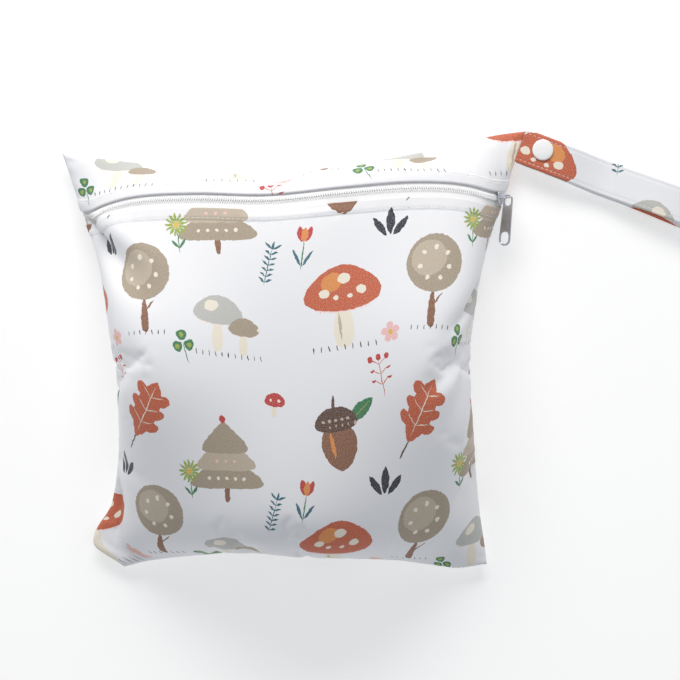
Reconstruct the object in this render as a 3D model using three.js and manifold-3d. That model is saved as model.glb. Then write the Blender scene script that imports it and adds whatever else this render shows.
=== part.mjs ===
// A zipped cloth wet bag, stuffed and lying on its back, with a snap-closed wrist strap.
// Millimetres, +Z up. The origin is the middle of the patch that the back rests on,
// +X runs along the zip towards the slider and the strap, +Y from the bottom seam to the top seam.
import * as THREE from "three";
import { mergeVertices } from "three/addons/utils/BufferGeometryUtils.js";
import Module from "manifold-3d";

const wasm = await Module();
wasm.setup();

// Stuffed bag
const halfWidth = 152.5; // of the rectangle round the seams
const halfHeight = 144.5;
const flatWidth = 310; // of one panel as cut, seam to seam
const flatHeight = 300;
const seamHeight = 44; // of the seams' middles above the floor
const frontRise = 52; // of the front above the seams
const backDrop = 55; // of the back below the seams, before the floor flattens it
const shoulderPower = 0.42; // lower is boxier
const blendPower = 2.5; // how late the grid of the panels spreads out towards the seams
const floorBlend = 5; // height either side of the floor over which the back curves into its flat patch
const droop = { from: 0.05, to: 0.8 }; // shares of an edge, from its middle, between which its seam droops
const cornerHeights = { bottomLeft: 8, bottomRight: 8.5, topLeft: 9, topRight: 6.8 };

// Cloth
const cloth = 1.2;
const seamGap = 0.3; // between neighbouring solids
const hemWidth = 8;
const hemExtra = 0.6; // the turned edge's second layer

// Zip
const bandHeight = 41.7; // of the cloth above the zip
const zipOpening = 7.4; // between the two cloth edges
const tapeUnder = 6; // of each tape under its cloth
const tapeThick = 0.8;
const tapeSplit = 0.6; // between the two tapes under the coil
const coilWidth = 4.4;
const coilThick = 1.5;
const coilShoulder = 0.9;
const zipEndInset = 2.5; // from the side seams

// Slider and pull tab
const sliderFromSeam = 8;
const sliderLength = 10.5;
const sliderWidth = 8.6;
const sliderNose = 6; // width at the nose
const plateThick = 1;
const clearance = 0.35;
const lipThick = 0.6;
const postWidth = 1.5;
const postLength = 2;
const bailRadius = 0.65;
const bailLength = 6.6;
const bailLeg = 1.3;
const bailRoom = 0.6; // under the tab's rim, so that the tab can lean over the slider's edge
const tabLength = 34;
const tabHeadWidth = 6.8;
const tabTailWidth = 8.6;
const tabThick = 1.3;
const tabRim = 1.2; // metal beside the head's hole
const tabHeadHole = 6.2; // length of the hole that hangs on the bail
const tabTailHole = { width: 5.6, length: 7.6, rim: 1.5 };
const tabDroop = 6; // degrees below the horizontal
const tabLean = 5; // degrees towards the bag
const tabBevel = 0.2;

// Wrist strap: one band, sewn in the side seam, folded back and snapped to itself
const strapWidth = 23;
const strapThick = 1.6;
const strapEdge = 0.5; // chamfer of its long edges
const strapLoop = 150; // from the seam to the fold
const strapAngle = -20.5; // degrees from +X, seen from above
const strapRootAt = 0.933; // share of the right seam, from its middle, where its root is centred
const strapInSeam = 4;
const strapRootWidth = 17;
const strapFlat = 26; // length beside the seam that stays level
const strapSettled = 62; // distance from the seam where it meets the floor
const foldGap = 11; // between the layers at the fold
const foldShift = 1.6; // sideways, of the lower layer past the upper one
const freeEndFromSeam = 1.2;

// Plastic snap
const snapFromSeam = 14.5;
const snapAside = 2.2; // from the strap's middle line towards its upper edge
const capRadius = 6.9;
const capThick = 1.2;
const capDome = 0.5;
const snapPost = 1.1;
const snapSpace = 3.4; // between the strap's two layers at the snap
const socketRadius = 4.6;
const studRadius = 2.1;
const roundSides = 20;

// Seam outline: how far each seam lies inside the rectangle, as a share of its half size.
// at runs along the seam from -1 to 1, upwards on the sides and rightwards on the top and bottom.
const outline = [
  { at: -1.0, left: 0.268, right: 0.168, bottom: 0.018, top: 0.1 },
  { at: -0.9, left: 0.128, right: 0.176, bottom: 0.033, top: 0.113 },
  { at: -0.7, left: 0.204, right: 0.199, bottom: 0.058, top: 0.141 },
  { at: -0.4, left: 0.256, right: 0.232, bottom: 0.095, top: 0.192 },
  { at: -0.1, left: 0.264, right: 0.261, bottom: 0.1, top: 0.226 },
  { at: 0.2, left: 0.226, right: 0.236, bottom: 0.082, top: 0.186 },
  { at: 0.5, left: 0.158, right: 0.164, bottom: 0.05, top: 0.115 },
  { at: 0.7, left: 0.09, right: 0.095, bottom: 0.016, top: 0.062 },
  { at: 0.85, left: 0.041, right: 0.05, bottom: 0.003, top: 0.021 },
  { at: 1.0, left: 0.0, right: 0.0, bottom: 0.03, top: 0.0 },
];

// Folds in the cloth: a trough from one point of the panel to another, in shares of its half size.
// width is a share of the flat width, and depth a share of the front's rise, a ridge where negative.
const folds = [
  { face: "front", fromS: -0.93, fromT: 0.62, toS: -0.62, toT: 0.28, width: 0.035, depth: 0.1 },
  { face: "front", fromS: -0.84, fromT: 0.66, toS: -0.55, toT: 0.42, width: 0.03, depth: -0.05 },
  { face: "front", fromS: 0.93, fromT: 0.12, toS: 0.6, toT: -0.12, width: 0.03, depth: 0.075 },
  { face: "front", fromS: 0.95, fromT: 0.3, toS: 0.68, toT: 0.08, width: 0.028, depth: 0.06 },
  { face: "front", fromS: 0.93, fromT: 0.0, toS: 0.7, toT: -0.3, width: 0.028, depth: 0.045 },
  { face: "front", fromS: -0.97, fromT: -0.62, toS: -0.84, toT: -0.95, width: 0.03, depth: 0.09 },
  { face: "front", fromS: -0.93, fromT: -0.12, toS: -0.74, toT: -0.04, width: 0.026, depth: 0.05 },
  { face: "front", fromS: 0.94, fromT: -0.55, toS: 0.76, toT: -0.66, width: 0.028, depth: 0.05 },
  { face: "front", fromS: -0.22, fromT: -0.97, toS: -0.16, toT: -0.8, width: 0.028, depth: 0.05 },
  { face: "front", fromS: -0.06, fromT: 0.98, toS: -0.04, toT: 0.78, width: 0.04, depth: 0.08 },
  { face: "front", fromS: 0.62, fromT: 0.96, toS: 0.5, toT: 0.8, width: 0.03, depth: 0.05 },
  { face: "back", fromS: -0.95, fromT: 0.3, toS: -0.68, toT: 0.2, width: 0.03, depth: 0.08 },
  { face: "back", fromS: 0.95, fromT: -0.2, toS: 0.7, toT: -0.28, width: 0.03, depth: 0.08 },
  { face: "back", fromS: 0.3, fromT: 0.96, toS: 0.26, toT: 0.72, width: 0.03, depth: 0.07 },
  { face: "back", fromS: -0.4, fromT: -0.96, toS: -0.36, toT: -0.72, width: 0.03, depth: 0.07 },
];

const columns = 28;
const panelRows = 21;
const bandRows = 4;

const mix = (a, b, share) => a + (b - a) * share;
const clamp = (value, low, high) => Math.min(high, Math.max(low, value));
const radians = THREE.MathUtils.degToRad;

function ease(from, to, value) {
  const share = clamp((value - from) / (to - from), 0, 1);
  return share * share * (3 - 2 * share);
}

function spread(from, to, count) {
  return Array.from({ length: count + 1 }, (_, i) => mix(from, to, i / count));
}

// A column of a table at any place, by a cubic through its rows.
function column(table, name, at) {
  let row = 1;
  while (row < table.length - 1 && table[row].at < at) row++;
  const slope = (i) => {
    const before = table[Math.max(i - 1, 0)];
    const after = table[Math.min(i + 1, table.length - 1)];
    return (after[name] - before[name]) / (after.at - before.at);
  };
  const a = table[row - 1];
  const b = table[row];
  const step = b.at - a.at;
  const u = clamp((at - a.at) / step, 0, 1);
  const u2 = u * u;
  const u3 = u2 * u;
  return (
    a[name] * (2 * u3 - 3 * u2 + 1) +
    b[name] * (3 * u2 - 2 * u3) +
    slope(row - 1) * step * (u3 - 2 * u2 + u) +
    slope(row) * step * (u3 - u2)
  );
}

// Half of the bag's section, from its middle to the seam, spaced evenly along the cloth.
class Section {
  constructor(run, rise) {
    const steps = 160;
    this.points = [];
    let length = 0;
    let last = null;
    for (let i = 0; i <= steps; i++) {
      const turn = (1 - Math.pow(1 - i / steps, 3)) * (Math.PI / 2);
      const across = Math.sin(turn);
      const up = Math.pow(Math.max(Math.cos(turn), 0), shoulderPower);
      if (last) length += Math.hypot((across - last.across) * run, (up - last.up) * rise);
      last = { length, across, up };
      this.points.push(last);
    }
    last.up = 0;
    this.length = length;
  }

  at(share) {
    const wanted = Math.min(Math.abs(share), 1) * this.length;
    let i = 1;
    while (i < this.points.length - 1 && this.points[i].length < wanted) i++;
    const a = this.points[i - 1];
    const b = this.points[i];
    const part = clamp((wanted - a.length) / (b.length - a.length), 0, 1);
    return { across: Math.sign(share) * mix(a.across, b.across, part), up: mix(a.up, b.up, part) };
  }
}

const waist = 1 - (column(outline, "left", 0) + column(outline, "right", 0)) / 2;
const middle = 1 - (column(outline, "bottom", 0) + column(outline, "top", 0)) / 2;
const widthSection = new Section(halfWidth * waist, frontRise);
const heightSection = new Section(halfHeight * middle, frontRise);

// Height of the seams' surface, which droops to the floor at the four corners.
function seamLevel(s, t) {
  const { bottomLeft, bottomRight, topLeft, topRight } = cornerHeights;
  const bottom = mix(bottomLeft, bottomRight, (1 + s) / 2);
  const top = mix(topLeft, topRight, (1 + s) / 2);
  const corner = mix(bottom, top, (1 + t) / 2);
  const drooped = ease(droop.from, droop.to, Math.abs(s)) * ease(droop.from, droop.to, Math.abs(t));
  return mix(seamHeight, corner, drooped);
}

// The seam opens a little where the strap's root is sewn in.
function halfGap(s, t) {
  const strapShare = strapWidth / flatHeight;
  const besideStrap = ease(strapRootAt - 2.4 * strapShare, strapRootAt - 1.5 * strapShare, t);
  const besideSeam = ease(1 - (6 * strapInSeam) / flatWidth, 1 - (2.6 * strapInSeam) / flatWidth, s);
  return seamGap / 2 + ((strapThick + 2 * seamGap) / 2) * besideStrap * besideSeam;
}

// The back's height once the floor has flattened it.
function settle(height) {
  const above = clamp(height - cloth, -floorBlend, floorBlend);
  return Math.max(height, cloth + Math.pow(above + floorBlend, 2) / (4 * floorBlend));
}

// The cloth's inner face without its folds. s runs across the panel and t up it, from -1 to 1.
function smoothPoint(face, s, t) {
  const wide = widthSection.at(s);
  const tall = heightSection.at(t);
  const left = -halfWidth * (1 - column(outline, "left", t));
  const right = halfWidth * (1 - column(outline, "right", t));
  const bottom = -halfHeight * (1 - column(outline, "bottom", s));
  const top = halfHeight * (1 - column(outline, "top", s));
  const x = mix(left, right, (1 + mix(s, wide.across, Math.pow(tall.up, blendPower))) / 2);
  const y = mix(bottom, top, (1 + mix(t, tall.across, Math.pow(wide.up, blendPower))) / 2);
  const swell = wide.up * tall.up;
  const level = seamLevel(s, t);
  const z = face === "front" ? level + halfGap(s, t) + frontRise * swell : level - halfGap(s, t) - backDrop * swell;
  return new THREE.Vector3(x, y, face === "front" ? z : Math.min(settle(z), level - halfGap(s, t)));
}

// The outward normal of a face that point(s, t) gives, which never leans past its seam.
function normalOf(point, face, s, t) {
  const step = 0.004;
  const along = point(Math.min(s + step, 1), t).sub(point(Math.max(s - step, -1), t));
  const up = point(s, Math.min(t + step, 1)).sub(point(s, Math.max(t - step, -1)));
  const normal = along.cross(up).normalize();
  if (face === "back") normal.negate();
  normal.z = face === "front" ? Math.max(normal.z, 0) : Math.min(normal.z, 0);
  return normal.normalize();
}

function foldDepth(face, s, t) {
  let depth = 0;
  for (const fold of folds) {
    if (fold.face !== face) continue;
    const runS = fold.toS - fold.fromS;
    const runT = fold.toT - fold.fromT;
    const length = Math.hypot(runS, runT);
    const along = ((s - fold.fromS) * runS + (t - fold.fromT) * runT) / (length * length);
    const beside = ((s - fold.fromS) * runT - (t - fold.fromT) * runS) / length;
    const fade = ease(-0.25, 0.15, along) * (1 - ease(0.6, 1.25, along));
    depth += fold.depth * frontRise * fade * Math.exp(-Math.pow(beside / (2 * fold.width), 2));
  }
  // The seams' own cloth is held, so a fold dies out there.
  return depth * ease(0, 0.06, 1 - Math.abs(s)) * ease(0, 0.06, 1 - Math.abs(t));
}

// The cloth's inner face with its folds.
function clothPoint(face, s, t) {
  const smooth = (a, b) => smoothPoint(face, a, b);
  const depth = foldDepth(face, s, t);
  const point = smooth(s, t);
  if (depth !== 0) point.addScaledVector(normalOf(smooth, face, s, t), -depth);
  if (face === "back") point.z = Math.max(point.z, cloth);
  return point;
}

function geometryFrom(positions, triangles) {
  const geometry = new THREE.BufferGeometry();
  geometry.setAttribute("position", new THREE.Float32BufferAttribute(positions, 3));
  geometry.setIndex(triangles);
  return geometry;
}

// A closed sheet over a grid of the panel, between two heights above the cloth's inner face.
function sheet(face, across, upwards, low, high) {
  const positions = [];
  const triangles = [];
  const place = (s, t) => clothPoint(face, s, t);
  for (const height of [low, high]) {
    for (const t of upwards) {
      for (const s of across) {
        const point = place(s, t).addScaledVector(normalOf(place, face, s, t), height(s, t));
        positions.push(point.x, point.y, point.z);
      }
    }
  }
  const wide = across.length;
  const tall = upwards.length;
  const index = (layer, row, i) => (layer * tall + row) * wide + i;
  const quad = (a, b, c, d) => {
    if (face === "front") triangles.push(a, b, c, a, c, d);
    else triangles.push(a, c, b, a, d, c);
  };
  for (let row = 0; row < tall - 1; row++) {
    for (let i = 0; i < wide - 1; i++) {
      quad(index(1, row, i), index(1, row, i + 1), index(1, row + 1, i + 1), index(1, row + 1, i));
      quad(index(0, row, i), index(0, row + 1, i), index(0, row + 1, i + 1), index(0, row, i + 1));
    }
  }
  for (let i = 0; i < wide - 1; i++) {
    quad(index(0, 0, i), index(0, 0, i + 1), index(1, 0, i + 1), index(1, 0, i));
    quad(index(0, tall - 1, i + 1), index(0, tall - 1, i), index(1, tall - 1, i), index(1, tall - 1, i + 1));
  }
  for (let row = 0; row < tall - 1; row++) {
    quad(index(0, row + 1, 0), index(0, row, 0), index(1, row, 0), index(1, row + 1, 0));
    const end = wide - 1;
    quad(index(0, row, end), index(0, row + 1, end), index(1, row + 1, end), index(1, row, end));
  }
  return geometryFrom(positions, triangles);
}

// Solids for booleans
function solidOf(geometry) {
  const loose = geometry.index ? geometry.toNonIndexed() : geometry;
  const bare = new THREE.BufferGeometry().setAttribute("position", loose.getAttribute("position"));
  const merged = mergeVertices(bare, 1e-3);
  const vertProperties = merged.attributes.position.array;
  const triVerts = new Uint32Array(merged.index.array);
  return new wasm.Manifold(new wasm.Mesh({ numProp: 3, vertProperties, triVerts }));
}

function geometryOf(solid) {
  const mesh = solid.getMesh();
  const positions = [];
  for (let i = 0; i < mesh.numVert; i++) {
    positions.push(...mesh.vertProperties.subarray(i * mesh.numProp, i * mesh.numProp + 3));
  }
  return geometryFrom(positions, Array.from(mesh.triVerts));
}

function box(low, high) {
  const size = new THREE.Vector3().subVectors(high, low);
  const centre = new THREE.Vector3().addVectors(low, high).multiplyScalar(0.5);
  return new THREE.BoxGeometry(size.x, size.y, size.z).translate(centre.x, centre.y, centre.z);
}

// Materials
const printedCloth = new THREE.MeshStandardMaterial({ color: 0xf2f2f4, roughness: 0.55, metalness: 0 });
const zipCloth = new THREE.MeshStandardMaterial({ color: 0xf7f7f7, roughness: 0.7, metalness: 0 });
const zipNylon = new THREE.MeshStandardMaterial({ color: 0xfbfbfb, roughness: 0.35, metalness: 0 });
const nickel = new THREE.MeshStandardMaterial({ color: 0xb4b5bb, roughness: 0.3, metalness: 1 });
const snapPlastic = new THREE.MeshStandardMaterial({ color: 0xfdfdfd, roughness: 0.3, metalness: 0 });

const bag = new THREE.Group();

function addMesh(parent, name, geometry, material) {
  const mesh = new THREE.Mesh(geometry, material);
  mesh.name = name;
  parent.add(mesh);
  return mesh;
}

// Panels
const bandEdge = 1 - (2 * bandHeight) / flatHeight; // the band's lower edge, as a t
const panelEdge = bandEdge - (2 * zipOpening) / flatHeight; // the front panel's upper edge
const zipMiddle = (bandEdge + panelEdge) / 2;
const hemShare = (2 * hemWidth) / flatHeight;
const hemStep = (2 * 0.8) / flatHeight; // length over which the hem's second layer starts

const zipEnd = 1 - (2 * zipEndInset) / flatWidth;
const zipAcross = spread(-zipEnd, zipEnd, columns);
const tapeShare = (2 * tapeUnder) / flatHeight;

function addPanels() {
  const across = [-1, ...zipAcross, 1];
  const inner = () => 0;
  const plain = () => cloth;
  const panelWall = (s, t) => cloth + hemExtra * ease(panelEdge - hemShare - hemStep, panelEdge - hemShare, t);
  const bandWall = (s, t) => cloth + hemExtra * (1 - ease(bandEdge + hemShare, bandEdge + hemShare + hemStep, t));
  const belowHem = spread(-1, panelEdge - hemShare - hemStep, panelRows);
  const aboveHem = spread(bandEdge + hemShare + hemStep, 1, bandRows);
  const panel = [...belowHem, panelEdge - hemShare, panelEdge - tapeShare, panelEdge];
  const band = [bandEdge, bandEdge + tapeShare, bandEdge + hemShare, ...aboveHem];
  const back = [...belowHem, zipMiddle, ...aboveHem];
  addMesh(bag, "back_panel", sheet("back", across, back, inner, plain), printedCloth);
  addMesh(bag, "front_panel", sheet("front", across, panel, inner, panelWall), printedCloth);
  addMesh(bag, "top_band", sheet("front", across, band, inner, bandWall), printedCloth);
}

// Zip
function tape(rows, grow = 0) {
  return sheet(
    "front",
    zipAcross,
    rows,
    () => -seamGap - tapeThick - grow,
    () => -seamGap + grow,
  );
}

function coil(grow = 0) {
  const half = (coilWidth + 2 * grow) / flatHeight;
  const rows = [zipMiddle - half, zipMiddle - half / 2, zipMiddle + half / 2, zipMiddle + half];
  const top = (s, t) => (Math.abs(t - zipMiddle) > 0.75 * half ? coilShoulder : coilThick) + grow;
  return sheet("front", zipAcross, rows, () => -grow, top);
}

// Where the slider sits: its length runs down the bag's side, and its outer plate faces outwards.
const sliderS = 1 - (2 * sliderFromSeam) / flatWidth;
const zipFace = (s, t) => clothPoint("front", s, t);
const sliderOut = normalOf(zipFace, "front", sliderS, zipMiddle);
const sliderAlong = zipFace(sliderS + 0.03, zipMiddle).sub(zipFace(sliderS - 0.03, zipMiddle)).normalize();
const sliderAcross = new THREE.Vector3().crossVectors(sliderOut, sliderAlong).normalize();
sliderOut.crossVectors(sliderAlong, sliderAcross).normalize();
const sliderPlace = new THREE.Matrix4()
  .makeBasis(sliderAlong, sliderAcross, sliderOut)
  .setPosition(zipFace(sliderS, zipMiddle));
const outerPlateLow = Math.max(coilThick, cloth + hemExtra) + clearance;
const outerPlateHigh = outerPlateLow + plateThick;
const innerPlateHigh = -seamGap - tapeThick - clearance;
const bailHeight = outerPlateHigh + clearance + bailRoom + tabHeadWidth / 2;

// One plate of the slider, narrower towards its nose, from one height to another.
function sliderPlate(low, high) {
  const half = sliderLength / 2;
  const shape = new THREE.Shape([
    new THREE.Vector2(-half, -sliderWidth / 2 + 0.8),
    new THREE.Vector2(-half + 0.8, -sliderWidth / 2),
    new THREE.Vector2(half * 0.2, -sliderWidth / 2),
    new THREE.Vector2(half, -sliderNose / 2),
    new THREE.Vector2(half, sliderNose / 2),
    new THREE.Vector2(half * 0.2, sliderWidth / 2),
    new THREE.Vector2(-half + 0.8, sliderWidth / 2),
    new THREE.Vector2(-half, sliderWidth / 2 - 0.8),
  ]);
  return new THREE.ExtrudeGeometry(shape, { depth: high - low, bevelEnabled: false }).translate(0, 0, low);
}

function sliderPost(grow = 0) {
  const nose = sliderLength / 2 - 0.6;
  const low = new THREE.Vector3(nose - postLength - grow, -postWidth / 2 - grow, innerPlateHigh - plateThick / 2);
  const high = new THREE.Vector3(nose + grow, postWidth / 2 + grow, outerPlateLow + plateThick / 2);
  return solidOf(box(low, high));
}

function bail() {
  const barEnd = bailLength / 2 + bailLeg;
  const bar = new THREE.CylinderGeometry(bailRadius, bailRadius, 2 * barEnd, 10).rotateZ(Math.PI / 2);
  let made = solidOf(bar.translate(0, 0, bailHeight));
  for (const side of [-1, 1]) {
    const from = side * (bailLength / 2);
    const to = side * barEnd;
    const low = new THREE.Vector3(Math.min(from, to), -bailRadius, outerPlateHigh - plateThick / 2);
    const high = new THREE.Vector3(Math.max(from, to), bailRadius, bailHeight);
    made = made.add(solidOf(box(low, high)));
  }
  return made;
}

// Side lips that turn down from the outer plate beside the coil.
function sliderLips() {
  const outer = coilWidth / 2 + clearance + lipThick;
  const lips = [-1, 1].map((side) => {
    const near = side * (outer - lipThick);
    const far = side * outer;
    const low = new THREE.Vector3(-sliderLength / 2 + 0.6, Math.min(near, far), 0);
    const high = new THREE.Vector3(sliderLength * 0.1, Math.max(near, far), outerPlateLow + plateThick / 2);
    return solidOf(box(low, high));
  });
  return lips[0].add(lips[1]);
}

function addZip() {
  const split = tapeSplit / flatHeight;
  const coilHalf = coilWidth / flatHeight;
  const upperRows = [zipMiddle + split, zipMiddle + coilHalf, bandEdge, bandEdge + tapeShare];
  const lowerRows = [panelEdge - tapeShare, panelEdge, zipMiddle - coilHalf, zipMiddle - split];
  const place = sliderPlace.elements;
  const grown = solidOf(coil(clearance))
    .add(solidOf(tape(upperRows, clearance)))
    .add(solidOf(tape(lowerRows, clearance)));
  const plates = solidOf(sliderPlate(outerPlateLow, outerPlateHigh))
    .add(solidOf(sliderPlate(innerPlateHigh - plateThick, innerPlateHigh)))
    .add(sliderLips())
    .transform(place);
  const slider = plates.subtract(grown).add(bail().add(sliderPost()).transform(place));
  const room = sliderPost(clearance).transform(place);
  const cut = (geometry) => geometryOf(solidOf(geometry).subtract(room));
  addMesh(bag, "zip_tape_upper", cut(tape(upperRows)), zipCloth);
  addMesh(bag, "zip_tape_lower", cut(tape(lowerRows)), zipCloth);
  addMesh(bag, "zip_coil", cut(coil()), zipNylon);
  addMesh(bag, "zip_slider", geometryOf(slider), nickel);
}

// Pull tab: a flat plate with a hole at each end, hung on the bail and drooping beside the bag.
function roundEnded(width, from, to) {
  const path = new THREE.Path();
  path.absarc(0, from + width / 2, width / 2, Math.PI, 2 * Math.PI);
  path.absarc(0, to - width / 2, width / 2, 0, Math.PI);
  path.closePath();
  return path;
}

function addPullTab() {
  const bailToEnd = tabRim + clearance + bailRadius; // from the bar's middle to the head's end
  const head = -bailToEnd;
  const tail = tabLength - bailToEnd;
  const shape = new THREE.Shape();
  shape.absarc(0, head + tabHeadWidth / 2, tabHeadWidth / 2, Math.PI, 2 * Math.PI);
  shape.absarc(0, tail - tabTailWidth / 2, tabTailWidth / 2, 0, Math.PI);
  shape.closePath();
  const headHoleWidth = tabHeadWidth - 2 * tabRim;
  shape.holes.push(roundEnded(headHoleWidth, head + tabRim, head + tabRim + tabHeadHole));
  const tailHoleEnd = tail - tabTailHole.rim;
  shape.holes.push(roundEnded(tabTailHole.width, tailHoleEnd - tabTailHole.length, tailHoleEnd));
  const geometry = new THREE.ExtrudeGeometry(shape, {
    depth: tabThick - 2 * tabBevel,
    bevelThickness: tabBevel,
    bevelSize: tabBevel,
    bevelOffset: -tabBevel,
    bevelSegments: 1,
    curveSegments: 6,
  }).translate(0, 0, -tabThick / 2 + tabBevel);

  // The plate's own X is its width, Y its length towards the tail and Z its thickness.
  const length = new THREE.Vector3(
    -Math.sin(radians(tabLean)) * Math.cos(radians(tabDroop)),
    -Math.cos(radians(tabLean)) * Math.cos(radians(tabDroop)),
    -Math.sin(radians(tabDroop)),
  );
  const width = sliderOut.clone().addScaledVector(length, -sliderOut.dot(length)).normalize();
  const thick = new THREE.Vector3().crossVectors(width, length);
  const hinge = new THREE.Group();
  hinge.position.copy(new THREE.Vector3(0, 0, bailHeight).applyMatrix4(sliderPlace));
  hinge.quaternion.setFromRotationMatrix(new THREE.Matrix4().makeBasis(width, length, thick));
  addMesh(hinge, "pull_tab", geometry, nickel);
  bag.add(hinge);
}

// Wrist strap
const strapRoot = smoothPoint("front", 1, strapRootAt);
const strapLevel = seamLevel(1, strapRootAt);
const strapHeading = new THREE.Vector3(Math.cos(radians(strapAngle)), Math.sin(radians(strapAngle)), 0);
const strapSide = new THREE.Vector3(-strapHeading.y, strapHeading.x, 0);

function strapPoint(distance, height, sideways) {
  return new THREE.Vector3(strapRoot.x, strapRoot.y, 0)
    .addScaledVector(strapHeading, distance)
    .addScaledVector(strapSide, sideways)
    .setZ(height);
}

// Height of the lower layer's middle, and of the space between the layers.
function lowerHeight(distance) {
  return mix(strapLevel, strapThick / 2, ease(strapFlat, strapSettled, distance));
}

function layerSpace(distance) {
  return mix(snapSpace, foldGap, ease(strapFlat, strapLoop * 0.75, distance));
}

// The band's route: out along the lower layer, round the fold, and back along the upper one.
function strapRoute() {
  const turnRadius = (foldGap + strapThick) / 2;
  const turnAt = strapLoop - turnRadius;
  const stations = [];
  const add = (distance, height, out, up, width, sideways) => {
    stations.push({ distance, height, out, up, width, sideways });
  };
  const slope = (height, distance) => (height(distance + 0.5) - height(distance - 0.5));
  const start = [-strapInSeam, -strapEdge, strapEdge, strapFlat / 2];
  const outward = [...spread(strapFlat, strapSettled, 6), ...spread(strapSettled, turnAt, 4).slice(1)];
  for (const distance of [...start, ...outward]) {
    const rise = slope(lowerHeight, distance);
    const width = distance < 0 ? strapRootWidth : strapWidth;
    add(distance, lowerHeight(distance), 1, rise, width, -foldShift * ease(0, turnAt, distance));
  }
  const turnSteps = 8;
  for (let i = 1; i < turnSteps; i++) {
    const turn = (i / turnSteps) * Math.PI;
    const height = strapThick / 2 + turnRadius * (1 - Math.cos(turn));
    const sideways = -foldShift * (1 - i / turnSteps);
    add(turnAt + turnRadius * Math.sin(turn), height, Math.cos(turn), Math.sin(turn), strapWidth, sideways);
  }
  const upperHeight = (distance) => lowerHeight(distance) + strapThick + layerSpace(distance);
  const middle = [...spread(turnAt, strapSettled, 4), ...spread(strapSettled, strapFlat, 6).slice(1)];
  const back = [...middle, strapFlat / 2, freeEndFromSeam + strapThick, freeEndFromSeam];
  for (const distance of back) {
    const rise = slope(upperHeight, distance);
    const width = distance === freeEndFromSeam ? strapWidth - 2 : strapWidth;
    add(distance, upperHeight(distance), -1, -rise, width, 0);
  }
  return stations;
}

function strapBand() {
  const positions = [];
  const triangles = [];
  const stations = strapRoute();
  const half = strapThick / 2;
  for (const { distance, height, out, up, width, sideways } of stations) {
    const heading = strapHeading.clone().multiplyScalar(out).setZ(up).normalize();
    const normal = new THREE.Vector3().crossVectors(heading, strapSide).normalize();
    const centre = strapPoint(distance, height, sideways);
    const edge = width / 2;
    const section = [
      [edge - strapEdge, -half],
      [edge, -half + strapEdge],
      [edge, half - strapEdge],
      [edge - strapEdge, half],
      [-edge + strapEdge, half],
      [-edge, half - strapEdge],
      [-edge, -half + strapEdge],
      [-edge + strapEdge, -half],
    ];
    for (const [beside, above] of section) {
      const point = centre.clone().addScaledVector(strapSide, beside).addScaledVector(normal, above);
      positions.push(point.x, point.y, point.z);
    }
  }
  const sides = 8;
  const last = stations.length - 1;
  for (let k = 0; k < last; k++) {
    for (let i = 0; i < sides; i++) {
      const a = k * sides + i;
      const b = k * sides + ((i + 1) % sides);
      triangles.push(a, b, b + sides, a, b + sides, a + sides);
    }
  }
  for (let i = 1; i < sides - 1; i++) {
    triangles.push(0, i + 1, i);
    triangles.push(last * sides, last * sides + i, last * sides + i + 1);
  }
  return geometryFrom(positions, triangles);
}

// Snap: a cap outside each layer of the strap, with its post through the cloth, and the two
// mating halves between the layers. Radii and heights run up from the surface it stands on.
function turned(points) {
  const profile = points.map(([radius, height]) => new THREE.Vector2(radius, height));
  const geometry = new THREE.LatheGeometry(profile, roundSides).rotateX(Math.PI / 2);
  const centre = strapPoint(snapFromSeam, 0, snapAside);
  return geometry.translate(centre.x, centre.y, 0);
}

const lowerCloth = strapLevel - strapThick / 2; // undersides of the two layers at the snap
const upperCloth = lowerCloth + strapThick + snapSpace;

function cap(clothFace, outwards) {
  const face = clothFace + outwards * seamGap;
  const postEnd = clothFace - outwards * (strapThick + seamGap);
  const points = [
    [0, postEnd],
    [snapPost, postEnd],
    [snapPost, face],
    [capRadius - 0.3, face],
    [capRadius, face + outwards * 0.3],
    [capRadius - 0.4, face + outwards * (capThick - 0.35)],
    [capRadius - 1.5, face + outwards * capThick],
    [0, face + outwards * (capThick + (outwards > 0 ? capDome : 0))],
  ];
  return turned(outwards > 0 ? points : points.reverse());
}

function addStrapAndSnap() {
  const centre = strapPoint(snapFromSeam, upperCloth, snapAside);
  const drill = new THREE.CylinderGeometry(snapPost + seamGap, snapPost + seamGap, 20, 12)
    .rotateX(Math.PI / 2)
    .translate(centre.x, centre.y, centre.z);
  addMesh(bag, "wrist_strap", geometryOf(solidOf(strapBand()).subtract(solidOf(drill))), printedCloth);
  addMesh(bag, "snap_cap_top", cap(upperCloth + strapThick, 1), snapPlastic);
  addMesh(bag, "snap_cap_bottom", cap(lowerCloth, -1), snapPlastic);

  const socketTop = upperCloth - seamGap;
  const socketLow = lowerCloth + strapThick + seamGap + 1.1;
  const bore = studRadius + seamGap;
  const socket = [
    [bore, socketLow],
    [socketRadius - 0.4, socketLow],
    [socketRadius, socketLow + 0.4],
    [socketRadius, socketTop - 0.3],
    [socketRadius - 0.3, socketTop],
    [snapPost + seamGap, socketTop],
    [snapPost + seamGap, socketTop - 0.5],
    [bore, socketTop - 0.9],
    [bore, socketLow],
  ];
  addMesh(bag, "snap_socket", turned(socket), snapPlastic);

  const studLow = lowerCloth + strapThick + seamGap;
  const studTop = socketTop - 1.2;
  const stud = [
    [snapPost + seamGap, studLow],
    [socketRadius, studLow],
    [socketRadius, studLow + 0.7],
    [studRadius, studLow + 0.8],
    [studRadius, studTop - 0.3],
    [studRadius - 0.3, studTop],
    [0, studTop],
    [0, studLow + 0.9],
    [snapPost + seamGap, studLow + 0.9],
    [snapPost + seamGap, studLow],
  ];
  addMesh(bag, "snap_stud", turned(stud), snapPlastic);
}

addPanels();
addZip();
addPullTab();
addStrapAndSnap();

export default bag;
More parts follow.
